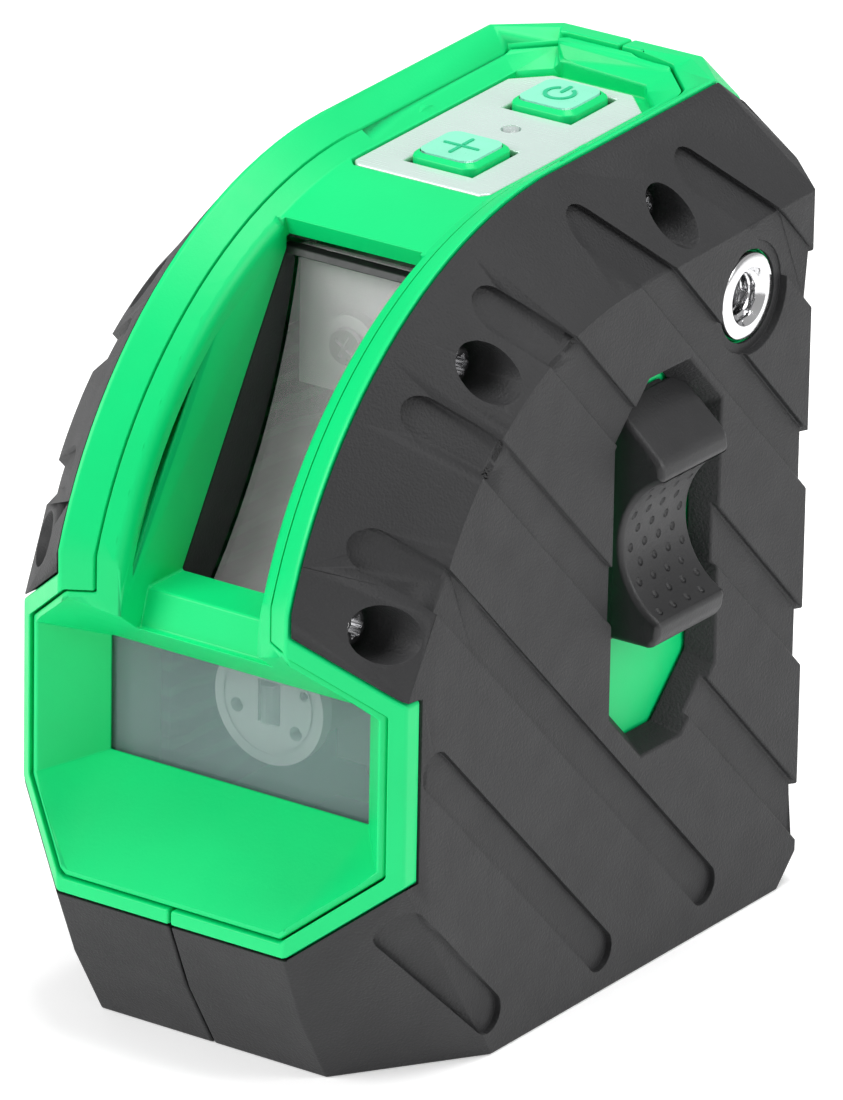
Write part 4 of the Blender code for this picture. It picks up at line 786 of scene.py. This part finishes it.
def channel_cutter(side):
    """Shallow straight slots over one side, as deep everywhere as the channels."""
    span = sorted((MIDDLE + side * CHANNEL_INNER_END, MIDDLE + side * FAR))
    slots = []
    for index in range(CHANNELS):
        start, end = channel_ends(index)
        slots.append(prism(capsule(start, end, sizes().channel_wide / 2), "X", *span))
    return carve(merged(slots), cutters=[case_form(sizes().channel_deep)])


class LEVEL_OT_skins(bpy.types.Operator):
    """Rubber skins with their slanting channels"""

    bl_idname = "level.skins"
    bl_label = "Rubber skins"

    def execute(self, context):
        for side, word in ((-1, "left"), (1, "right")):
            node = f"overmould_{word}"
            skin = carve(cad_copy(node), cutters=[channel_cutter(side)])
            bmesh.ops.remove_doubles(skin, verts=skin.verts, dist=SLIVER)
            piece(
                f"skin_{word}", skin, "black_rubber", "housing", [node],
                rounding=sizes().skin_round,
            )
        return {"FINISHED"}


class LEVEL_OT_shells(bpy.types.Operator):
    """Green half shells with the band's rim and the lock's pan"""

    bl_idname = "level.shells"
    bl_label = "Green shells"

    def execute(self, context):
        for word in ("left", "right"):
            node = f"shell_{word}"
            piece(
                f"half_shell_{word}", cad_copy(node), "green_plastic", "housing",
                [node], rounding=sizes().plastic_round,
            )
        return {"FINISHED"}


def fillet_cutter(side):
    """Takes the sharp edge off the tall recess where its side wall meets the valley's slope."""
    radius = sizes().recess_round
    lean = math.atan2(VALLEY_DEEP, CREST_HALF - VALLEY_HALF)
    reach = radius * math.tan((math.pi / 2 - lean) / 2)
    corner = VALLEY_DEEP + (VALLEY_HALF - RECESS_HALF) * math.tan(lean)
    section = []
    for i in range(11):
        turn = (math.pi / 2 - lean) * i / 10
        across = RECESS_HALF + radius - radius * math.cos(turn)
        section.append((across, corner + reach - radius * math.sin(turn)))
    section += [(section[-1][0], corner - 2 * radius), (RECESS_HALF - radius, corner - 2 * radius)]
    section.append((RECESS_HALF - radius, corner + reach))
    rings = []
    for i in range(49):
        turn = RECESS_START + RECESS_TURN * i / 48
        ring = []
        for across, deep in section:
            far = ARC_RADIUS - deep
            y, z = ARC_Y - far * math.cos(turn), ARC_Z + far * math.sin(turn)
            ring.append((MIDDLE + side * across, y, z))
        rings.append(ring)
    return loft(rings)


class LEVEL_OT_fascia(bpy.types.Operator):
    """Green fascia with the pocket, the recess and the keypad tray"""

    bl_idname = "level.fascia"
    bl_label = "Fascia"

    def execute(self, context):
        fascia = carve(cad_copy("front_fascia"), cutters=[fillet_cutter(-1), fillet_cutter(1)])
        piece(
            "fascia", fascia, "green_plastic", "housing",
            ["front_fascia"], rounding=sizes().plastic_round,
        )
        return {"FINISHED"}


# Name, CAD node, finish, slot and rounding
WINDOWS = (
    ("low_pane", "lower_window", "low_glass", "window_glass", 0.25 * MM),
    ("tall_pane", "upper_window", "tall_glass", "window_glass", 0.15 * MM),
    ("tall_pane_frame", "upper_window_frame", "black_plastic", "black_plastic", 0.2 * MM),
)


class LEVEL_OT_windows(bpy.types.Operator):
    """Low flat window, tall hollow window and its black frame"""

    bl_idname = "level.windows"
    bl_label = "Windows"

    def execute(self, context):
        for name, node, finish, slot, rounding in WINDOWS:
            piece(name, cad_copy(node), finish, "housing", [node], rounding=rounding)
        return {"FINISHED"}


# Keypad

def deck_prism(outline, low, high, along):
    """Outline (across, along) raised from the deck around a place along it."""
    solid = prism([(x, y + along) for x, y in outline], "Z", low, high)
    solid.transform(DECK)
    return solid


def arc_band(radius, width, start, turn, sides=40):
    """Outline of a flat ring's part, from start through turn."""
    angles = [start + turn * i / sides for i in range(sides + 1)]
    outer = [(radius * math.cos(t), radius * math.sin(t)) for t in angles]
    inner = [((radius - width) * math.cos(t), (radius - width) * math.sin(t)) for t in angles]
    return outer + inner[::-1]


def bar(start, end, width):
    return capsule(start, end, width / 2)


def symbol_outlines(word):
    """Plain signs: a broken ring with a bar, and a cross of three bars."""
    if word == "power":
        yield arc_band(2.3 * MM, POWER_LINE, math.radians(120), math.radians(300))
        yield bar((0, 0.5 * MM), (0, 2.6 * MM), POWER_LINE)
    else:
        yield bar((-2.6 * MM, 0), (2.6 * MM, 0), MODE_LINE)
        yield bar((0, 0.6 * MM), (0, 2.6 * MM), MODE_LINE)
        yield bar((0, -2.6 * MM), (0, -0.6 * MM), MODE_LINE)


class LEVEL_OT_keypad(bpy.types.Operator):
    """Silver keypad plate, two buttons with their signs, and the light"""

    bl_idname = "level.keypad"
    bl_label = "Keypad"

    def execute(self, context):
        piece(
            "keypad_cover", cad_copy("keypad_plate"), "keypad_silver", "housing",
            ["keypad_plate"], rounding=0.35 * MM,
        )
        for word, along in BUTTONS.items():
            well_outline = rounded_box(WELL_WIDE, WELL_WIDE, WELL_ROUND)
            well = deck_prism(well_outline, WELL_FLOOR, 0, along)
            skirt = carve(cad_copy(f"{word}_button"), cutters=[well])
            body = f"{word}_key"
            piece(
                f"{word}_skirt", skirt, "green_plastic", body, [f"{word}_button"],
                rounding=0.15 * MM,
            )
            outline = rounded_box(CAP_WIDE, CAP_WIDE, CAP_ROUND)
            cap = deck_prism(outline, CAP_FOOT, BUTTON_TOP + CAP_RISE, along)
            piece(f"{word}_cap", cap, "button_cap", body, rounding=0.4 * MM)
            for number, line in enumerate(symbol_outlines(word)):
                raised = deck_prism(line, BUTTON_TOP, BUTTON_TOP + SIGN_RISE, along)
                piece(f"{word}_sign_{number}", raised, "button_symbol", body)
        lens = deck_prism(circle(LIGHT_RADIUS), LIGHT_FOOT, LIGHT_TOP, LIGHT_ALONG)
        piece(
            "status_light", lens, "lens_glass", "housing", ["status_lens"],
            rounding=0.2 * MM,
        )
        return {"FINISHED"}


# Geometry Nodes

class Recipe(Graph):
    """A Geometry Nodes tree with named inputs."""

    def __init__(self, name, inputs):
        tree = bpy.data.node_groups.new(name, "GeometryNodeTree")
        super().__init__(tree)
        tree.interface.new_socket("Geometry", in_out="INPUT", socket_type="NodeSocketGeometry")
        tree.interface.new_socket("Geometry", in_out="OUTPUT", socket_type="NodeSocketGeometry")
        self.values = inputs
        kinds = {int: "NodeSocketInt", float: "NodeSocketFloat"}
        for word, value in inputs.items():
            kind = kinds.get(type(value), "NodeSocketObject")
            tree.interface.new_socket(word, in_out="INPUT", socket_type=kind)
        self.entry = tree.nodes.new("NodeGroupInput")

    def taken(self, word):
        return Wire(self, self.entry.outputs[word])

    def joined_vector(self, x, y, z):
        return self.add("ShaderNodeCombineXYZ", values={"X": x, "Y": y, "Z": z})

    def copies(self, points, shape, **more):
        """One instance of the shape on each point."""
        values = {"Points": points, "Instance": shape, **more}
        return self.add("GeometryNodeInstanceOnPoints", values=values)

    def made(self, geometry, finish, base=None):
        """The plain mesh that the tree makes of base, with its instances realised."""
        whole = self.add("GeometryNodeRealizeInstances", values={"Geometry": geometry})
        coated = self.add(
            "GeometryNodeSetMaterial", values={"Geometry": whole, "Material": finish_named(finish)}
        )
        leave = self.tree.nodes.new("NodeGroupOutput")
        self.feed(leave.inputs[0], coated)
        holder = place_object(self.tree.name, base or bpy.data.meshes.new(self.tree.name))
        modifier = holder.modifiers.new("recipe", "NODES")
        modifier.node_group = self.tree
        for item in self.tree.interface.items_tree:
            if item.in_out == "INPUT" and item.name in self.values:
                modifier[item.identifier] = self.values[item.name]
        return solid_of(settle(holder))


# Lock knob

def scoop_arc():
    """Centre (x, z), radius and half angle of the knob's scoop."""
    half = (SCOOP_HEAD - SCOOP_FOOT) / 2
    radius = (half**2 + SCOOP_DEEP**2) / (2 * SCOOP_DEEP)
    centre = (KNOB_FACE - SCOOP_DEEP + radius, (SCOOP_HEAD + SCOOP_FOOT) / 2)
    return centre, radius, math.asin(half / radius)


def dimples():
    """Balls in staggered rows along the scoop, ready to be cut from it."""
    (centre_x, centre_z), radius, spread = scoop_arc()
    ball = DIMPLE_BALL
    lift = math.sqrt(ball**2 - min(sizes().dimple_radius, 0.95 * ball) ** 2)
    recipe = Recipe("dimples", {
        "Rows": DIMPLE_ROWS, "Columns": DIMPLE_COLUMNS, "Column step": DIMPLE_STEP,
        "Ball radius": ball, "Path radius": radius - lift,
    })
    count = recipe.taken("Rows") * recipe.taken("Columns")
    points = recipe.add("GeometryNodeMeshLine", values={"Count": count})
    index = recipe.add("GeometryNodeInputIndex")
    row = recipe.maths("FLOOR", index / recipe.taken("Columns"))
    column = index - row * recipe.taken("Columns")
    odd = recipe.maths("MODULO", row, 2.0)
    shift = column + 0.5 * odd - DIMPLE_MIDDLE
    turn = (row / (recipe.taken("Rows") - 1.0) - 0.5) * (DIMPLE_SPREAD * spread)
    path = recipe.taken("Path radius")
    place = recipe.joined_vector(
        centre_x - path * recipe.maths("COSINE", turn),
        KNOB_MID_Y + shift * recipe.taken("Column step"),
        centre_z + path * recipe.maths("SINE", turn),
    )
    set_points = recipe.add(
        "GeometryNodeSetPosition", values={"Geometry": points, "Position": place}
    )
    pit = recipe.add("GeometryNodeMeshIcoSphere", values={
        "Radius": recipe.taken("Ball radius"), "Subdivisions": 3,
    })
    return recipe.made(recipe.copies(set_points, pit), "black_plastic")


def knob_outline():
    """Knob seen from the front (x, z): rounded lips with a scoop between them."""
    (centre_x, centre_z), radius, spread = scoop_arc()
    low_x = MIDDLE + KNOB_BACK
    lip = KNOB_FACE
    arc = []
    for i in range(2 * SCOOP_STEPS + 1):
        turn = spread * (i / SCOOP_STEPS - 1)
        arc.append((centre_x - radius * math.cos(turn), centre_z + radius * math.sin(turn)))
    return [
        (low_x, KNOB_FOOT), (lip - 1.6 * MM, KNOB_FOOT), (lip - 0.3 * MM, KNOB_FOOT + 1.4 * MM),
        *arc, (lip - 0.4 * MM, SCOOP_HEAD + 2.6 * MM), (lip - 2.4 * MM, SCOOP_HEAD + 4.4 * MM),
        (low_x, KNOB_HEAD),
    ]


def knob_block():
    """The knob without its neck, rounded on every sharp edge."""
    solid = prism(knob_outline(), "Y", KNOB_MID_Y - KNOB_HALF, KNOB_MID_Y + KNOB_HALF)
    block = place_object("block", mesh_of("block", solid))
    bevel = block.modifiers.new("round", "BEVEL")
    bevel.width = KNOB_ROUND
    bevel.segments = KNOB_ROUND_STEPS
    bevel.angle_limit = math.radians(24)
    bevel.use_clamp_overlap = False
    return solid_of(settle(block))


class LEVEL_OT_knob(bpy.types.Operator):
    """Lock knob with a dimpled scoop"""

    bl_idname = "level.knob"
    bl_label = "Lock knob"

    def execute(self, context):
        neck_only = box((MIDDLE, FRONT, 0), (MIDDLE + NECK_OUT, REAR, FAR))
        neck = carve(cad_copy("lock_knob"), kept=[neck_only])
        finished = carve(knob_block(), joined=[neck], cutters=[dimples()])
        piece(
            "thumb_slide", finished, "black_plastic", "lock", ["lock_knob"],
            angle=KNOB_SHARP,
        )
        return {"FINISHED"}


# Thread bushes and case screws

def threaded_bush():
    """Bush around Z with its mouth at the top and a real thread in its bore."""
    pitch = sizes().thread_pitch
    depth = 0.55 * pitch
    outer = [
        (0, -BUSH_LONG), (BUSH_RADIUS - 1.2 * MM, -BUSH_LONG), (BUSH_RADIUS - 1.2 * MM, -3 * MM),
        (BUSH_RADIUS, -3 * MM), (BUSH_RADIUS, -0.8 * MM), (BUSH_RADIUS - 0.25 * MM, -0.25 * MM),
        (BUSH_RADIUS - 0.8 * MM, 0), (THREAD_RADIUS + 0.9 * MM, 0),
    ]
    top, foot = -0.6 * MM, -BUSH_LONG + 1.6 * MM
    rings = []
    for i in range(BUSH_SIDES):
        share = i / BUSH_SIDES
        turn = 2 * math.pi * share
        profile = list(outer)
        for k in range(THREAD_ROWS + 1):
            z = top + (foot - top) * k / THREAD_ROWS
            phase = (z / pitch + share) % 1.0
            crest = min(1.0, max(0.0, 1.5 - abs(phase - 0.5) * 4))
            fade = min(1.0, k / THREAD_FADE_ROWS)
            profile.append((THREAD_RADIUS + 0.4 * MM - depth * crest * fade, z))
        profile.append((0, foot - 0.4 * MM))
        rings.append([(r * math.cos(turn), r * math.sin(turn), z) for r, z in profile])
    solid = loft(rings, closed=True)
    bmesh.ops.remove_doubles(solid, verts=solid.verts, dist=1e-7)
    bmesh.ops.recalc_face_normals(solid, faces=solid.faces)
    return solid


def torx_screw():
    """Pan-head screw around X, its seat in the plane of the origin, with a six-lobed socket."""
    lobes = []
    for i in range(SOCKET_POINTS):
        turn = 2 * math.pi * i / SOCKET_POINTS
        reach = (SOCKET_RADIUS + SOCKET_LOBE * math.cos(6 * turn)) * MM
        lobes.append((reach * math.cos(turn), reach * math.sin(turn)))
    head = loft([[(x * MM, y, z) for y, z in circle(radius * MM)] for x, radius in SCREW_HEAD])
    shank = prism(circle(1.35 * MM, sides=24), "X", -8.2 * MM, 0.4 * MM)
    return carve(head, joined=[shank], cutters=[prism(lobes, "X", 0.7 * MM, 3 * MM)])


def screws_in_place():
    """All case screws, set on both sides by their places on one."""
    screw = place_object("screw_pattern", mesh_of("screw_pattern", torx_screw()))
    places = bpy.data.meshes.new("screw_places")
    heads = [
        (MIDDLE + side * SCREW_SEAT, FRONT + y, z) for side in (-1, 1) for y, z in SCREW_PLACES
    ]
    places.from_pydata(heads, [], [])
    recipe = Recipe("case_screws", {"Screw": screw, "Middle": MIDDLE, "Size": 1.0})
    position = recipe.add("GeometryNodeInputPosition")
    across = recipe.add("ShaderNodeSeparateXYZ", values={"Vector": position}, output="X")
    facing = recipe.joined_vector(across - recipe.taken("Middle"), 0.0, 0.0)
    turn = recipe.add(
        "FunctionNodeAlignRotationToVector", {"axis": "X", "pivot_axis": "Z"}, {"Vector": facing}
    )
    pattern = recipe.add(
        "GeometryNodeObjectInfo", values={"Object": recipe.taken("Screw")}, output="Geometry"
    )
    spread_out = recipe.copies(
        recipe.taken("Geometry"), pattern, Rotation=turn, Scale=recipe.taken("Size")
    )
    made = recipe.made(spread_out, "chrome", places)
    discard(screw)
    return made


class LEVEL_OT_metal(bpy.types.Operator):
    """Threaded bushes and the case screws with six-lobed sockets"""

    bl_idname = "level.metal"
    bl_label = "Bushes and screws"

    def execute(self, context):
        side = Matrix.Translation(
            (MIDDLE + HALF_WIDTH - SIDE_BUSH_SUNK, FRONT + SIDE_BUSH_BACK, SIDE_BUSH_HIGH)
        ) @ Matrix.Rotation(math.pi / 2, 4, "Y")
        base = Matrix.Translation((MIDDLE, FRONT + BASE_BUSH_BACK, BASE_BUSH_SUNK))
        base = base @ Matrix.Rotation(math.pi, 4, "X")
        for word, place in (("side", side), ("base", base)):
            bush = threaded_bush()
            bush.transform(place)
            piece(
                f"{word}_tripod_thread", bush, "chrome", "housing",
                [f"{word}_thread_bush"], angle=METAL_SHARP,
            )
        nodes = [
            f"case_screw_{side}_{place}"
            for side in ("left", "right") for place in ("lower", "middle", "upper")
        ]
        piece(
            "torx_screws", screws_in_place(), "chrome", "housing", nodes,
            angle=METAL_SHARP,
        )
        return {"FINISHED"}


# Optics behind the windows

class LEVEL_OT_optics(bpy.types.Operator):
    """Face plate behind the low window, with its slot, holes and groove"""

    bl_idname = "level.optics"
    bl_label = "Optics"

    def execute(self, context):
        low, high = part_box("horizontal_face_plate")
        middle = (MIDDLE, (low.z + high.z) / 2)

        def round_bar(radius, start, end, centre=middle, sides=FACE_SIDES):
            return prism(circle(radius, centre, sides), "Y", start, end)

        disc = round_bar(FACE_RADIUS, low.y, high.y)
        slot = [(MIDDLE + x * MM, middle[1] + z * MM) for x, z in FACE_SLOT]
        holes = [prism(slot, "Y", low.y - MM, high.y + MM)]
        for x, z, radius in FACE_HOLES:
            centre = (MIDDLE + x * MM, middle[1] + z * MM)
            holes.append(round_bar(radius * MM, low.y - MM, high.y + MM, centre, 32))
        groove = round_bar(GROOVE_OUTER, low.y - MM, low.y + GROOVE_DEEP)
        ring = carve(groove, cutters=[round_bar(GROOVE_INNER, low.y - 2 * MM, low.y + MM)])
        piece(
            "module_face", carve(disc, cutters=[*holes, ring]), "pale_plastic", "pendulum",
            ["horizontal_face_plate"], rounding=0.12 * MM,
        )
        return {"FINISHED"}


# Battery door

def door_grooves():
    """Flat bars across the door's lower half, ready to be cut from its face."""
    low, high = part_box("battery_door")
    recipe = Recipe("door_grooves", {
        "Count": 10, "Step": sizes().rib_step,
        "Length": 34 * MM, "Width": 1.1 * MM, "Depth": 1.2 * MM,
    })
    line = recipe.add("GeometryNodeMeshLine", values={
        "Count": recipe.taken("Count"), "Start Location": (MIDDLE, high.y, low.z + 16 * MM),
        "Offset": recipe.joined_vector(0.0, 0.0, recipe.taken("Step")),
    })
    bar_shape = recipe.add("GeometryNodeMeshCube", values={
        "Size": recipe.joined_vector(
            recipe.taken("Length"), recipe.taken("Depth"), recipe.taken("Width")
        ),
    })
    return recipe.made(recipe.copies(line, bar_shape), "black_rubber")


class LEVEL_OT_door(bpy.types.Operator):
    """Battery door with grip grooves"""

    bl_idname = "level.door"
    bl_label = "Battery door"

    def execute(self, context):
        door = carve(cad_copy("battery_door"), cutters=[door_grooves()])
        piece(
            "rear_hatch", door, "black_plastic", "rear_door", ["battery_door"],
            rounding=0.3 * MM,
        )
        return {"FINISHED"}


# Inner pieces

# Packed materials whose finish has another name
INNER_FINISHES = {
    "window_glass": "lens_glass", "grey_casting": "casting", "pendulum_casting": "casting",
    "module_barrel": "barrel", "magnet": "plated_magnet", "board": "circuit_board",
    "keypad_plate": "pale_plastic",
}


class LEVEL_OT_insides(bpy.types.Operator):
    """Finishes of the pieces inside the case"""

    bl_idname = "level.insides"
    bl_label = "Inner pieces"

    def execute(self, context):
        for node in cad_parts.values():
            packed = node.data.materials[0].name.split(".")[0]
            finish = finish_named(INNER_FINISHES.get(packed, packed))
            node.data.materials.clear()
            node.data.materials.append(finish)
        return {"FINISHED"}


# Stage

CAMERA_AZIMUTH = math.radians(34.7866)
CAMERA_ELEVATION = math.radians(21.8393)
CAMERA_ROLL = math.radians(1.0191)
CAMERA_DISTANCE = 1.4885
CAMERA_LENS = 364.84
CAMERA_AIM = Vector((-0.731, 1.980, 56.710)) * MM

# Name, place, size and power of each lamp, in metres and watts
LAMPS = (
    ("key", (-0.5, -0.9, 0.75), (0.6, 0.6), 10),
    ("top", (0.1, 0.1, 1.0), (0.5, 0.5), 6),
    ("rim", (0.9, 0.3, 0.5), (0.25, 0.7), 4),
)
LAMP_AIM = (0, 0, 0.06)
WORLD_STRENGTH = 0.42
FLOOR_HALF = 3.0


def make_camera():
    data = bpy.data.cameras.new("camera")
    data.lens = CAMERA_LENS
    data.sensor_width = 36
    data.clip_start, data.clip_end = 0.1, 20
    camera = place_object("camera", data)
    turn = Matrix.Rotation(CAMERA_AZIMUTH, 4, "Z")
    tilt = Matrix.Rotation(math.pi / 2 - CAMERA_ELEVATION, 4, "X")
    roll = Matrix.Rotation(CAMERA_ROLL, 4, "Z")
    facing = turn @ tilt @ roll
    camera.matrix_world = Matrix.Translation(CAMERA_AIM) @ facing @ Matrix.Translation(
        (0, 0, CAMERA_DISTANCE)
    )
    bpy.context.scene.camera = camera


def make_lamp(name, place, size, power):
    data = bpy.data.lights.new(name, "AREA")
    data.shape = "RECTANGLE"
    data.size, data.size_y = size
    data.energy = power
    lamp = place_object(name, data)
    lamp.location = place
    lamp.rotation_mode = "QUATERNION"
    lamp.rotation_quaternion = (Vector(LAMP_AIM) - Vector(place)).to_track_quat("-Z", "Y")


def make_floor():
    half = FLOOR_HALF
    floor = bmesh.new()
    corners = [(-half, -half, 0), (half, -half, 0), (half, half, 0), (-half, half, 0)]
    floor.faces.new([floor.verts.new(corner) for corner in corners])
    made = place_object("studio_floor", mesh_of("studio_floor", floor))
    made.data.materials.append(finish_named("studio_floor"))


def make_world():
    world = bpy.data.worlds.new("studio")
    world.use_nodes = True
    background = world.node_tree.nodes["Background"]
    background.inputs["Color"].default_value = (1, 1, 1, 1)
    background.inputs["Strength"].default_value = WORLD_STRENGTH
    bpy.context.scene.world = world


class LEVEL_OT_stage(bpy.types.Operator):
    """Floor, soft lamps and camera"""

    bl_idname = "level.stage"
    bl_label = "Stage"

    def execute(self, context):
        make_floor()
        make_world()
        for lamp in LAMPS:
            make_lamp(*lamp)
        make_camera()
        context.scene.view_settings.view_transform = "Standard"
        return {"FINISHED"}


OPERATORS = (
    LEVEL_OT_skins, LEVEL_OT_shells, LEVEL_OT_fascia, LEVEL_OT_windows, LEVEL_OT_keypad,
    LEVEL_OT_knob, LEVEL_OT_metal, LEVEL_OT_optics, LEVEL_OT_door, LEVEL_OT_insides, LEVEL_OT_stage,
)


class LEVEL_PT_panel(bpy.types.Panel):
    """Lists the pieces and their settings"""

    bl_idname = "LEVEL_PT_panel"
    bl_label = "Laser Level"
    bl_space_type = "VIEW_3D"
    bl_region_type = "UI"
    bl_category = "Laser Level"

    def draw(self, context):
        layout = self.layout
        for group in (context.scene.level_sizes, context.scene.level_colours):
            for name in group.__annotations__:
                layout.prop(group, name)
        for operator in OPERATORS:
            layout.operator(operator.bl_idname)


def register():
    for item in (LevelColours, LevelSizes, *OPERATORS, LEVEL_PT_panel):
        bpy.utils.register_class(item)
    bpy.types.Scene.level_colours = bpy.props.PointerProperty(type=LevelColours)
    bpy.types.Scene.level_sizes = bpy.props.PointerProperty(type=LevelSizes)


def unregister():
    del bpy.types.Scene.level_sizes
    del bpy.types.Scene.level_colours
    for item in (LEVEL_PT_panel, *reversed(OPERATORS), LevelSizes, LevelColours):
        bpy.utils.unregister_class(item)


def main():
    register()
    for operator in OPERATORS:
        category, name = operator.bl_idname.split(".")
        getattr(getattr(bpy.ops, category), name)()


if __name__ == "__main__":
    main()
